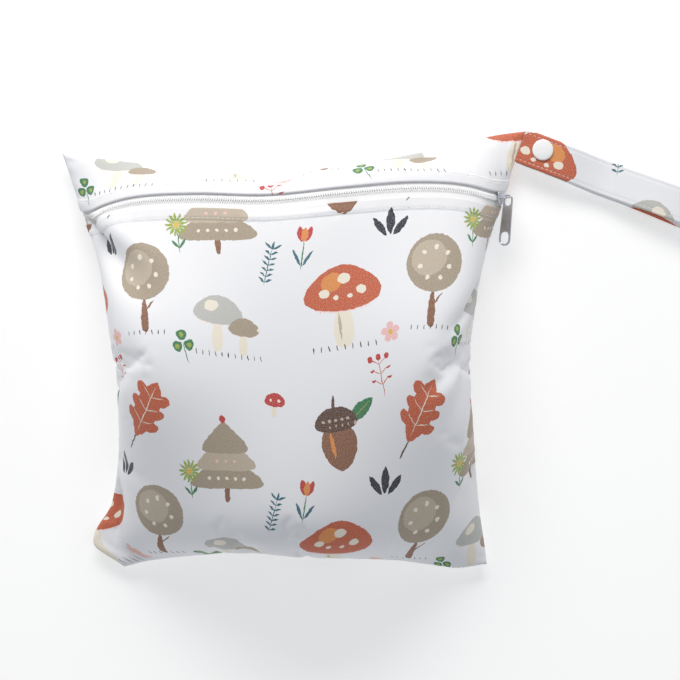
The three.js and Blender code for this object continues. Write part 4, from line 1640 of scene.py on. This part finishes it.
TULIP = (
    Dab(0, -7, 0.5, 9.5, Ink.GREEN, point=0.5),
    Dab(3.4, -9, 1.1, 6.2, Ink.TEAL, turn=-30, point=0.9, repeat=MIRRORED),
    Dab(2.6, 6, 2.2, 5.0, Ink.RED, turn=-16, point=0.8, repeat=MIRRORED),
    Dab(0, 5.4, 2.3, 4.6, Ink.ORANGE, point=0.85),
)
BERRIES = (
    Dab(0, -3, 0.42, 12, Ink.RUST, point=0.5),
    Dab(2.6, 1.2, 0.34, 3.6, Ink.RUST, turn=-52, repeat=LEAFLETS, pitch=6.4, count=1),
    Dab(5.8, 3.6, 1.9, 1.9, Ink.RED, repeat=LEAFLETS, pitch=6.4, count=1),
    Dab(0, 10.6, 2.0, 2.0, Ink.RED),
)
FERN = (
    Dab(0, -1, 0.4, 13, Ink.TEAL, point=0.5),
    Dab(2.9, 1.4, 0.85, 3.5, Ink.TEAL, turn=-55, point=0.85, repeat=LEAFLETS, pitch=3.7, count=3),
    Dab(0, 13, 1.0, 3.0, Ink.TEAL, point=0.85),
)
SUNBURST = (
    Dab(0, -9, 0.45, 8.5, Ink.GREEN, point=0.5),
    Dab(2.6, -11, 1.0, 4.2, Ink.GREEN, turn=-40, point=0.9, repeat=MIRRORED),
    Dab(0, 5.2, 1.0, 3.6, Ink.LEAF, point=0.7, repeat=RING, count=13, about=(0, 3)),
    Dab(0, 0, 2.0, 2.0, Ink.YELLOW, about=(0, 3)),
)
BLOSSOM = (
    Dab(0, 3.9, 2.5, 2.9, Ink.PINK, taper=0.2, repeat=RING, count=5),
    Dab(0, 0, 1.7, 1.7, Ink.YELLOW),
)
BUTTON_CAP = (
    Dab(0, -3.5, 1.7, 4.4, Ink.CREAM, point=0.35),
    Dab(0, 2.2, 6.2, 4.0, Ink.RED, taper=-0.3),
    Dab(2.6, 2.0, 0.9, 0.8, Ink.CREAM, repeat=MIRRORED),
)

MOTIFS = (
    Motif("toadstool", 34, 36, 4, 1.0, TOADSTOOL),
    Motif("round tree", 93, 48, 0, 1.0, ROUND_TREE),
    Motif("pale toadstools", 150, 26, -4, 1.08, PALE_PAIR),
    Motif("acorn", 30, 112, 8, 1.05, ACORN),
    Motif("oak leaf", 88, 124, -30, 0.95, OAK_LEAF),
    Motif("fir tree", 143, 98, 3, 1.0, FIR),
    Motif("three leaves", 62, 82, 0, 1.0, THREE_LEAVES),
    Motif("clover", 118, 12, 8, 1.0, CLOVER),
    Motif("tulip", 8, 74, -6, 1.0, TULIP),
    Motif("berries", 60, 148, 12, 0.95, BERRIES),
    Motif("fern", 176, 62, -14, 0.95, FERN),
    Motif("sunburst", 118, 84, 6, 0.9, SUNBURST),
    Motif("blossom", 66, 16, 10, 0.9, BLOSSOM),
    Motif("button cap", 178, 132, -6, 1.1, BUTTON_CAP),
)
PRINT_TILE = (190.0, 156.0, 1000.0)


def linear(colour: int) -> tuple[float, float, float, float]:
    """A hexadecimal screen colour as linear light."""
    parts = [((colour >> shift) & 255) / 255 for shift in (16, 8, 0)]
    light = [p / 12.92 if p <= 0.04045 else ((p + 0.055) / 1.055) ** 2.4 for p in parts]
    return (*light, 1.0)


class Graph:
    """Adds nodes to one tree and links them."""

    def __init__(self, tree: bpy.types.NodeTree) -> None:
        """Starts on a tree."""
        self.tree = tree

    def put(self, socket: bpy.types.NodeSocket, value: object) -> None:
        """Links a socket to another, or sets its value."""
        if isinstance(value, bpy.types.NodeSocket):
            self.tree.links.new(value, socket)
        elif value is not None:
            socket.default_value = value

    def node(self, kind: str, values: Optional[dict] = None, **settings: object) -> bpy.types.Node:
        """Adds a node.

        Args:
            kind: Its type.
            values: What goes into its inputs, by name or number.
            settings: Its own settings.

        Returns:
            The node.
        """
        node = self.tree.nodes.new(kind)
        for name, setting in settings.items():
            setattr(node, name, setting)
        for key, value in (values or {}).items():
            self.put(node.inputs[key], value)
        return node

    def math(self, operation: str, *values: object, clamp: bool = False) -> bpy.types.NodeSocket:
        """Adds a Math node and returns its result."""
        inputs = dict(enumerate(values))
        node = self.node("ShaderNodeMath", inputs, operation=operation, use_clamp=clamp)
        return node.outputs[0]

    def vector(self, operation: str, *values: object) -> bpy.types.NodeSocket:
        """Adds a Vector Math node and returns its vector."""
        node = self.node("ShaderNodeVectorMath", dict(enumerate(values)), operation=operation)
        return node.outputs["Vector"]

    def distance(self, a: object, b: object) -> bpy.types.NodeSocket:
        """How far apart two vectors or colours are."""
        node = self.node("ShaderNodeVectorMath", {0: a, 1: b}, operation="DISTANCE")
        return node.outputs["Value"]

    def scaled(self, vector: bpy.types.NodeSocket, scale: float) -> bpy.types.NodeSocket:
        """A vector times a number."""
        values = {"Vector": vector, "Scale": scale}
        node = self.node("ShaderNodeVectorMath", values, operation="SCALE")
        return node.outputs["Vector"]

    def split(self, vector: bpy.types.NodeSocket) -> tuple[bpy.types.NodeSocket, ...]:
        """The three parts of a vector."""
        return tuple(self.node("ShaderNodeSeparateXYZ", {0: vector}).outputs)

    def combine(self, x: object, y: object, z: object = 0.0) -> bpy.types.NodeSocket:
        """A vector from three parts."""
        return self.node("ShaderNodeCombineXYZ", {0: x, 1: y, 2: z}).outputs[0]

    def blend(self, share: object, a: object, b: object, kind: str = "MIX") -> bpy.types.NodeSocket:
        """Mixes two colours."""
        values = {"Factor": share, 6: a, 7: b}
        node = self.node("ShaderNodeMix", values, data_type="RGBA", blend_type=kind)
        return node.outputs[2]

    def noise(self, vector: object, scale: float, detail: float = 2.0) -> bpy.types.Node:
        """Adds a noise of a scale per millimetre."""
        values = {"Vector": vector, "Scale": scale, "Detail": detail}
        return self.node("ShaderNodeTexNoise", values)

    def spread(self, value: object, low: float, high: float) -> bpy.types.NodeSocket:
        """A value from 0 to 1 moved to between low and high."""
        return self.math("MULTIPLY_ADD", value, high - low, low)

    def use(self, group: bpy.types.NodeTree, **values: object) -> bpy.types.Node:
        """Places a node group."""
        node = self.tree.nodes.new("ShaderNodeGroup")
        node.node_tree = group
        for name, value in values.items():
            self.put(node.inputs[name], value)
        return node


def new_group(
    name: str, inputs: dict[str, str], outputs: dict[str, str]
) -> tuple[Graph, bpy.types.Node, bpy.types.Node]:
    """Starts a shader node group.

    Args:
        name: Its name.
        inputs: The kind of each input, by name.
        outputs: The kind of each output, by name.

    Returns:
        Its graph, its input node and its output node.
    """
    tree = bpy.data.node_groups.new(name, "ShaderNodeTree")
    for way, sockets in (("INPUT", inputs), ("OUTPUT", outputs)):
        for socket, kind in sockets.items():
            tree.interface.new_socket(socket, in_out=way, socket_type=f"NodeSocket{kind}")
    graph = Graph(tree)
    return graph, graph.node("NodeGroupInput"), graph.node("NodeGroupOutput")


class PrintGroups:
    """The node groups that draw the cloth's print."""

    SOFT = 0.14

    def __init__(self) -> None:
        """Builds the groups, the simplest first."""
        self.dab = self.make_dab()
        self.mirror = self.make_mirror()
        self.row = self.make_row()
        self.ring = self.make_ring()
        self.spot = self.make_spot()
        self.drawings = {motif.name: self.make_drawing(motif) for motif in MOTIFS}
        self.scatter = self.make_scatter()

    def make_dab(self) -> bpy.types.NodeTree:
        """One brush mark laid over the paint."""
        kinds = {"Paint": "Color", "Place": "Vector", "Centre": "Vector", "Half": "Vector"}
        kinds |= {name: "Float" for name in ("Turn", "Point", "Taper", "Sharp")}
        kinds["Ink"] = "Color"
        graph, start, end = new_group("Dab", kinds, {"Paint": "Color"})
        get = start.outputs
        off = graph.vector("SUBTRACT", get["Place"], get["Centre"])
        values = {"Vector": off, "Angle": get["Turn"]}
        turned_off = graph.node("ShaderNodeVectorRotate", values, rotation_type="Z_AXIS").outputs[0]
        u, v, _ = graph.split(graph.vector("DIVIDE", turned_off, get["Half"]))
        left = graph.math("SUBTRACT", 1.0, graph.math("MULTIPLY", v, v), clamp=True)
        width = graph.math("POWER", left, get["Point"])
        lean = graph.math("MULTIPLY_ADD", v, get["Taper"], 1.0)
        reach = graph.math("MULTIPLY", width, lean)
        edge = graph.math("SUBTRACT", reach, graph.math("ABSOLUTE", u))
        cover = graph.math("MULTIPLY", edge, get["Sharp"], clamp=True)
        graph.put(end.inputs["Paint"], graph.blend(cover, get["Paint"], get["Ink"]))
        return graph.tree

    def make_mirror(self) -> bpy.types.NodeTree:
        """Folds the plane over its vertical line."""
        graph, start, end = new_group("Mirror", {"Place": "Vector"}, {"Place": "Vector"})
        x, y, _ = graph.split(start.outputs["Place"])
        graph.put(end.inputs["Place"], graph.combine(graph.math("ABSOLUTE", x), y))
        return graph.tree

    def make_row(self) -> bpy.types.NodeTree:
        """Repeats the plane along its horizontal line, count times each way."""
        kinds = {"Place": "Vector", "Pitch": "Float", "Count": "Float"}
        graph, start, end = new_group("Row", kinds, {"Place": "Vector"})
        get = start.outputs
        x, y, _ = graph.split(get["Place"])
        number = graph.math("ROUND", graph.math("DIVIDE", x, get["Pitch"]))
        number = graph.math("MINIMUM", number, get["Count"])
        number = graph.math("MAXIMUM", number, graph.math("MULTIPLY", get["Count"], -1.0))
        moved = graph.math("SUBTRACT", x, graph.math("MULTIPLY", number, get["Pitch"]))
        graph.put(end.inputs["Place"], graph.combine(moved, y))
        return graph.tree

    def make_ring(self) -> bpy.types.NodeTree:
        """Repeats the plane round its middle."""
        kinds = {"Place": "Vector", "Count": "Float"}
        graph, start, end = new_group("Ring", kinds, {"Place": "Vector"})
        get = start.outputs
        x, y, _ = graph.split(get["Place"])
        angle = graph.math("ARCTAN2", x, y)
        part = graph.math("DIVIDE", 2 * math.pi, get["Count"])
        near = graph.math("ROUND", graph.math("DIVIDE", angle, part))
        angle = graph.math("SUBTRACT", angle, graph.math("MULTIPLY", near, part))
        squares = graph.math("ADD", graph.math("MULTIPLY", x, x), graph.math("MULTIPLY", y, y))
        radius = graph.math("SQRT", squares)
        across = graph.math("MULTIPLY", radius, graph.math("SINE", angle))
        along = graph.math("MULTIPLY", radius, graph.math("COSINE", angle))
        graph.put(end.inputs["Place"], graph.combine(across, along))
        return graph.tree

    def make_spot(self) -> bpy.types.NodeTree:
        """Places a drawing once on every tile, turned and sized."""
        kinds = {"Place": "Vector", "Origin": "Vector", "Turn": "Float", "Size": "Float"}
        graph, start, end = new_group("Spot", kinds, {"Place": "Vector"})
        get = start.outputs
        off = graph.vector("SUBTRACT", get["Place"], get["Origin"])
        high = tuple(side / 2 for side in PRINT_TILE)
        low = tuple(-side / 2 for side in PRINT_TILE)
        near = graph.vector("WRAP", off, high, low)
        values = {"Vector": near, "Angle": get["Turn"]}
        turned_near = graph.node("ShaderNodeVectorRotate", values, rotation_type="Z_AXIS").outputs[0]
        node = graph.node("ShaderNodeVectorMath", {"Vector": turned_near}, operation="SCALE")
        graph.put(node.inputs["Scale"], graph.math("DIVIDE", 1.0, get["Size"]))
        graph.put(end.inputs["Place"], node.outputs["Vector"])
        return graph.tree

    def repeated(self, graph: Graph, place: bpy.types.NodeSocket, dab: Dab) -> bpy.types.NodeSocket:
        """The place as a dab's own repetition sees it."""
        if dab.about != (0.0, 0.0):
            place = graph.vector("SUBTRACT", place, (*dab.about, 0.0))
        if dab.repeat is Repeat.MIRRORED:
            return graph.use(self.mirror, Place=place).outputs[0]
        if dab.repeat is Repeat.ROW:
            return graph.use(self.row, Place=place, Pitch=dab.pitch, Count=float(dab.count)).outputs[0]
        if dab.repeat is Repeat.RING:
            return graph.use(self.ring, Place=place, Count=float(dab.count)).outputs[0]
        if dab.repeat is Repeat.LEAFLETS:
            x, y, _ = graph.split(place)
            swapped = graph.combine(y, x)
            row = graph.use(self.row, Place=swapped, Pitch=dab.pitch, Count=float(dab.count)).outputs[0]
            along, across, _ = graph.split(row)
            return graph.combine(graph.math("ABSOLUTE", across), along)
        return place

    def make_drawing(self, motif: Motif) -> bpy.types.NodeTree:
        """All the dabs of one motif."""
        kinds = {"Paint": "Color", "Place": "Vector"}
        graph, start, end = new_group(f"Drawing {motif.name}", kinds, {"Paint": "Color"})
        paint, place = start.outputs["Paint"], start.outputs["Place"]
        for dab in motif.dabs:
            seen = self.repeated(graph, place, dab)
            paint = graph.use(
                self.dab,
                Paint=paint,
                Place=seen,
                Centre=(dab.x, dab.y, 0.0),
                Half=(dab.wide, dab.high, 1.0),
                Turn=-math.radians(dab.turn),
                Point=dab.point,
                Taper=dab.taper,
                Sharp=dab.wide / self.SOFT,
                Ink=linear(dab.ink.value),
            ).outputs[0]
        graph.put(end.inputs["Paint"], paint)
        return graph.tree

    def make_scatter(self) -> bpy.types.NodeTree:
        """The whole print over plain cloth, with a brush's uneven edge and body."""
        kinds = {"Flat": "Vector", "Cloth": "Color"}
        graph, start, end = new_group("Scatter print", kinds, {"Paint": "Color", "Inked": "Float"})
        flat = graph.scaled(start.outputs["Flat"], 1000.0)
        wobble = graph.noise(flat, 0.35, 3.0).outputs["Color"]
        wobble = graph.vector("SUBTRACT", wobble, (0.5, 0.5, 0.5))
        place = graph.vector("MULTIPLY_ADD", wobble, (1.9, 1.9, 0.0), flat)
        bare = start.outputs["Cloth"]
        paint = bare
        for motif in MOTIFS:
            # Each drawing waits for the one before it, so that few values are held at once.
            spot = graph.use(
                self.spot,
                Place=graph.vector("MULTIPLY_ADD", paint, (1e-9, 1e-9, 1e-9), place),
                Origin=(motif.x, motif.y, 0.0),
                Turn=-math.radians(motif.turn),
                Size=motif.size,
            )
            drawing = self.drawings[motif.name]
            paint = graph.use(drawing, Paint=paint, Place=spot.outputs[0]).outputs[0]
        inked = graph.math("MULTIPLY", graph.distance(paint, bare), 6.0, clamp=True)
        grain = graph.noise(flat, 1.3, 4.0).outputs[0]
        washed = graph.math("MULTIPLY", graph.spread(grain, -0.55, 0.85), inked, clamp=True)
        paint = graph.blend(graph.math("MULTIPLY", washed, 0.5), paint, start.outputs["Cloth"])
        graph.put(end.inputs["Paint"], paint)
        graph.put(end.inputs["Inked"], inked)
        return graph.tree


def make_weave() -> bpy.types.NodeTree:
    """A fine plain weave, its threads crossing over and under."""
    kinds = {"Flat": "Vector", "Threads": "Float"}
    graph, start, end = new_group("Weave", kinds, {"Height": "Float", "Tone": "Float"})
    node = graph.node("ShaderNodeVectorMath", {"Vector": start.outputs["Flat"]}, operation="SCALE")
    turns = graph.math("MULTIPLY", start.outputs["Threads"], 2000 * math.pi)
    graph.put(node.inputs["Scale"], turns)
    x, y, _ = graph.split(node.outputs["Vector"])
    crossing = graph.math("MULTIPLY", graph.math("SINE", x), graph.math("SINE", y))
    millimetres = graph.scaled(start.outputs["Flat"], 1000.0)
    uneven = graph.noise(millimetres, 0.9, 3.0).outputs[0]
    height = graph.math("MULTIPLY_ADD", crossing, 0.5, 0.5)
    graph.put(end.inputs["Height"], graph.math("MULTIPLY", height, graph.spread(uneven, 0.7, 1.3)))
    graph.put(end.inputs["Tone"], uneven)
    return graph.tree


def make_wear() -> bpy.types.NodeTree:
    """Small scratches and cloudy handling marks for hard parts."""
    kinds = {"Place": "Vector"}
    graph, start, end = new_group("Handling marks", kinds, {"Cloud": "Float", "Scratch": "Float"})
    place = graph.scaled(start.outputs["Place"], 1000.0)
    cloud = graph.noise(place, 0.35, 4.0).outputs[0]
    stretched = graph.vector("MULTIPLY", place, (1.0, 0.12, 0.5))
    scratch = graph.noise(stretched, 3.2, 5.0).outputs[0]
    fine = graph.math("GREATER_THAN", scratch, 0.62)
    graph.put(end.inputs["Cloud"], cloud)
    graph.put(end.inputs["Scratch"], fine)
    return graph.tree


@dataclass(frozen=True)
class Look:
    """The plain values of one finish."""

    name: str
    colour: int
    roughness: float
    metallic: float = 0.0
    sheen: float = 0.0
    coat: float = 0.0
    specular: float = 0.5
    glow: float = 0.0


PRINTED = Look("printed laminated cloth", 0xF1F1F4, 0.5, sheen=0.06, specular=0.3)
TAPE = Look("woven zip tape", 0xF6F6F7, 0.68, sheen=0.2, specular=0.3)
NYLON = Look("nylon coil", 0xF8F8F8, 0.34)
NICKEL = Look("satin nickel", 0xD6D8DF, 0.36, metallic=1.0)
PLASTIC = Look("moulded snap plastic", 0xFBFBFA, 0.24, coat=0.25)
THREAD = Look("sewing thread", 0xF4F4F6, 0.6, sheen=0.3)
FLOOR = Look("pale studio floor", 0xCBCBCB, 0.7, specular=0.1, glow=0.47)


@dataclass
class Finishes:
    """The bag's finishes, each made once."""

    printed: bpy.types.Material = field(init=False)
    tape: bpy.types.Material = field(init=False)
    nylon: bpy.types.Material = field(init=False)
    nickel: bpy.types.Material = field(init=False)
    plastic: bpy.types.Material = field(init=False)
    thread: bpy.types.Material = field(init=False)
    floor: bpy.types.Material = field(init=False)

    def __post_init__(self) -> None:
        """Builds the materials."""
        self.weave = make_weave()
        self.wear = make_wear()
        self.prints = PrintGroups()
        self.printed = self.make_printed()
        self.tape = self.make_tape()
        self.nylon = self.make_hard(NYLON, 0.1, 0.0)
        self.nickel = self.make_hard(NICKEL, 0.16, 0.1)
        self.plastic = self.make_hard(PLASTIC, 0.1, 0.04)
        self.thread = self.make_thread()
        self.floor = self.make_floor()

    def start(self, look: Look) -> tuple[bpy.types.Material, Graph, bpy.types.Node]:
        """A material with its shader's plain values set.

        Args:
            look: The values.

        Returns:
            The material, its graph and its shader.
        """
        material = bpy.data.materials.new(look.name)
        material.use_nodes = True
        shader = material.node_tree.nodes["Principled BSDF"]
        shader.inputs["Base Color"].default_value = linear(look.colour)
        shader.inputs["Roughness"].default_value = look.roughness
        shader.inputs["Metallic"].default_value = look.metallic
        shader.inputs["Sheen Weight"].default_value = look.sheen
        shader.inputs["Coat Weight"].default_value = look.coat
        shader.inputs["Specular IOR Level"].default_value = look.specular
        shader.inputs["Emission Color"].default_value = (1.0, 1.0, 1.0, 1.0)
        shader.inputs["Emission Strength"].default_value = look.glow
        return material, Graph(material.node_tree), shader

    def tint(self, graph: Graph, shader: bpy.types.Node, look: Look, shade: object) -> None:
        """Gives the shader the look's colour, made lighter and darker by a shade."""
        grey = graph.combine(shade, shade, shade)
        colour = graph.vector("MULTIPLY", linear(look.colour)[:3], grey)
        graph.put(shader.inputs["Base Color"], colour)

    def bump(
        self, graph: Graph, shader: bpy.types.Node, height: object, depth: float, strength: float
    ) -> None:
        """Turns a height into the shader's normal, its depth in millimetres."""
        values = {"Height": height, "Distance": depth * MM, "Strength": strength}
        graph.put(shader.inputs["Normal"], graph.node("ShaderNodeBump", values).outputs[0])

    def make_printed(self) -> bpy.types.Material:
        """White laminated cloth with the scatter print."""
        material, graph, shader = self.start(PRINTED)
        flat = graph.node("ShaderNodeUVMap", uv_map="UVMap").outputs[0]
        scatter = graph.use(self.prints.scatter, Flat=flat, Cloth=linear(PRINTED.colour))
        weave = graph.use(self.weave, Flat=flat, Threads=1.1)
        hem = graph.node("ShaderNodeAttribute", attribute_name="hem").outputs["Fac"]
        tone = graph.spread(weave.outputs["Tone"], 0.97, 1.03)
        shade = graph.math("MULTIPLY", tone, graph.math("MULTIPLY_ADD", hem, -0.055, 1.0))
        grey = graph.combine(shade, shade, shade)
        dyed = graph.vector("MULTIPLY", scatter.outputs["Paint"], grey)
        graph.put(shader.inputs["Base Color"], dyed)
        matt = graph.spread(scatter.outputs["Inked"], PRINTED.roughness, PRINTED.roughness + 0.08)
        rough = graph.math("ADD", matt, graph.spread(weave.outputs["Tone"], -0.05, 0.05))
        graph.put(shader.inputs["Roughness"], rough)
        self.bump(graph, shader, weave.outputs["Height"], 0.05, 0.35)
        return material

    def make_tape(self) -> bpy.types.Material:
        """Ribbed white zip tape, its colour painted darker where the weave lies low: painted shade
        between the threads.
        """
        material, graph, shader = self.start(TAPE)
        flat = graph.node("ShaderNodeUVMap", uv_map="UVMap").outputs[0]
        weave = graph.use(self.weave, Flat=flat, Threads=0.8)
        # Painted shade: the weave's height darkens the tape's colour in the low places between its
        # threads.
        shade = graph.spread(weave.outputs["Height"], 0.93, 1.02)
        self.tint(graph, shader, TAPE, shade)
        rough = graph.spread(weave.outputs["Tone"], TAPE.roughness - 0.06, TAPE.roughness + 0.06)
        graph.put(shader.inputs["Roughness"], rough)
        self.bump(graph, shader, weave.outputs["Height"], 0.12, 0.6)
        return material

    def make_hard(self, look: Look, cloud: float, scratch: float) -> bpy.types.Material:
        """A hard part with handling marks in its gloss."""
        material, graph, shader = self.start(look)
        place = graph.node("ShaderNodeTexCoord").outputs["Object"]
        wear = graph.use(self.wear, Place=place)
        shade = graph.spread(wear.outputs["Cloud"], 1.0 - cloud / 2, 1.0 + cloud / 4)
        self.tint(graph, shader, look, shade)
        low, high = look.roughness - cloud / 2, look.roughness + cloud / 2
        rough = graph.spread(wear.outputs["Cloud"], low, high)
        rough = graph.math("MULTIPLY_ADD", wear.outputs["Scratch"], scratch, rough)
        graph.put(shader.inputs["Roughness"], rough)
        self.bump(graph, shader, wear.outputs["Cloud"], 0.03, 0.3)
        return material

    def make_thread(self) -> bpy.types.Material:
        """Twisted white thread, its colour painted darker in the low places of its twist: painted shade
        in the grooves.
        """
        material, graph, shader = self.start(THREAD)
        place = graph.scaled(graph.node("ShaderNodeTexCoord").outputs["Object"], 1000.0)
        twist = graph.noise(place, 2.4, 3.0).outputs[0]
        # Painted shade: the twist's height darkens the thread's colour in its grooves.
        shade = graph.spread(twist, 0.86, 1.04)
        self.tint(graph, shader, THREAD, shade)
        graph.put(shader.inputs["Roughness"], graph.spread(twist, 0.5, 0.7))
        self.bump(graph, shader, twist, 0.08, 0.6)
        return material

    def make_floor(self) -> bpy.types.Material:
        """The plain pale floor."""
        material, graph, shader = self.start(FLOOR)
        place = graph.node("ShaderNodeTexCoord").outputs["Object"]
        cloud = graph.node("ShaderNodeTexNoise", {"Vector": place, "Scale": 3.0}).outputs[0]
        graph.put(shader.inputs["Roughness"], graph.spread(cloud, 0.66, 0.74))
        return material


class Lamp(NamedTuple):
    """A soft light: its place in metres, its power in watts and its two sides in metres."""

    at: tuple[float, float, float]
    power: float
    size: tuple[float, float]


@dataclass
class Studio:
    """The pale floor, the soft lights and the camera straight above.

    Lengths are in metres.
    """

    finishes: Finishes
    camera_at: tuple[float, float, float] = (0.0303, 0.0072, 1.8)
    sensor: float = 36.0
    distance: float = 1.77
    view_width: float = 0.442
    lamp_colour: tuple[float, float, float] = (1.0, 0.975, 0.94)
    key: Lamp = Lamp((-0.25, 1.9, 1.35), 46.0, (2.0, 0.8))
    fill: Lamp = Lamp((0.5, -0.2, 2.2), 4.0, (1.6, 1.6))
    sky_colour: tuple[float, float, float, float] = (0.89, 0.94, 1.0, 1.0)
    sky_strength: float = 0.39

    def camera(self) -> None:
        """Sets the camera at the photograph's angle, looking straight down."""
        data = bpy.data.cameras.new("camera")
        data.sensor_width = self.sensor
        data.lens = self.sensor * self.distance / self.view_width
        camera = bpy.data.objects.new("camera", data)
        camera.location = self.camera_at
        bpy.context.scene.collection.objects.link(camera)
        bpy.context.scene.camera = camera

    def floor(self) -> None:
        """Lays the floor."""
        deselect()
        bpy.ops.mesh.primitive_plane_add(size=8)
        floor = bpy.context.object
        floor.name = "floor"
        floor.data.materials.append(self.finishes.floor)

    def light(self, name: str, lamp: Lamp) -> None:
        """Adds a soft light that faces the bag."""
        data = bpy.data.lights.new(name, "AREA")
        data.energy = lamp.power
        data.color = self.lamp_colour
        data.shape = "RECTANGLE"
        data.size, data.size_y = lamp.size
        obj = bpy.data.objects.new(name, data)
        obj.location = lamp.at
        obj.rotation_euler = (-Vector(lamp.at)).to_track_quat("-Z", "Y").to_euler()
        bpy.context.scene.collection.objects.link(obj)

    def make(self) -> None:
        """Makes the lights, the sky and the floor."""
        self.floor()
        self.light("key", self.key)
        self.light("fill", self.fill)
        world = bpy.data.worlds.new("studio")
        bpy.context.scene.world = world
        world.use_nodes = True
        background = world.node_tree.nodes["Background"]
        background.inputs["Color"].default_value = self.sky_colour
        background.inputs["Strength"].default_value = self.sky_strength
        bpy.context.scene.view_settings.view_transform = "Standard"


def main() -> None:
    """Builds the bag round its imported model."""
    logging.basicConfig(level=logging.INFO, stream=sys.stdout, format="%(message)s")
    finishes = Finishes()
    studio = Studio(finishes)
    studio.camera()
    form = BagForm()
    pouch = StuffedPouch(form)
    pouch.relax()
    ClothFaces(pouch, finishes).make()
    slider = Slider(form, finishes)
    centre = form.flat_width / 2 - slider.from_seam
    ZipChain(pouch, finishes).make((centre + 1.9, centre + 5.2))
    slider.make()
    PullTab(slider, finishes).make()
    strap = WristStrap(form, finishes)
    strap.make()
    strap.stitches()
    Snap(strap, finishes).make()
    studio.make()


if __name__ == "__main__":
    main()
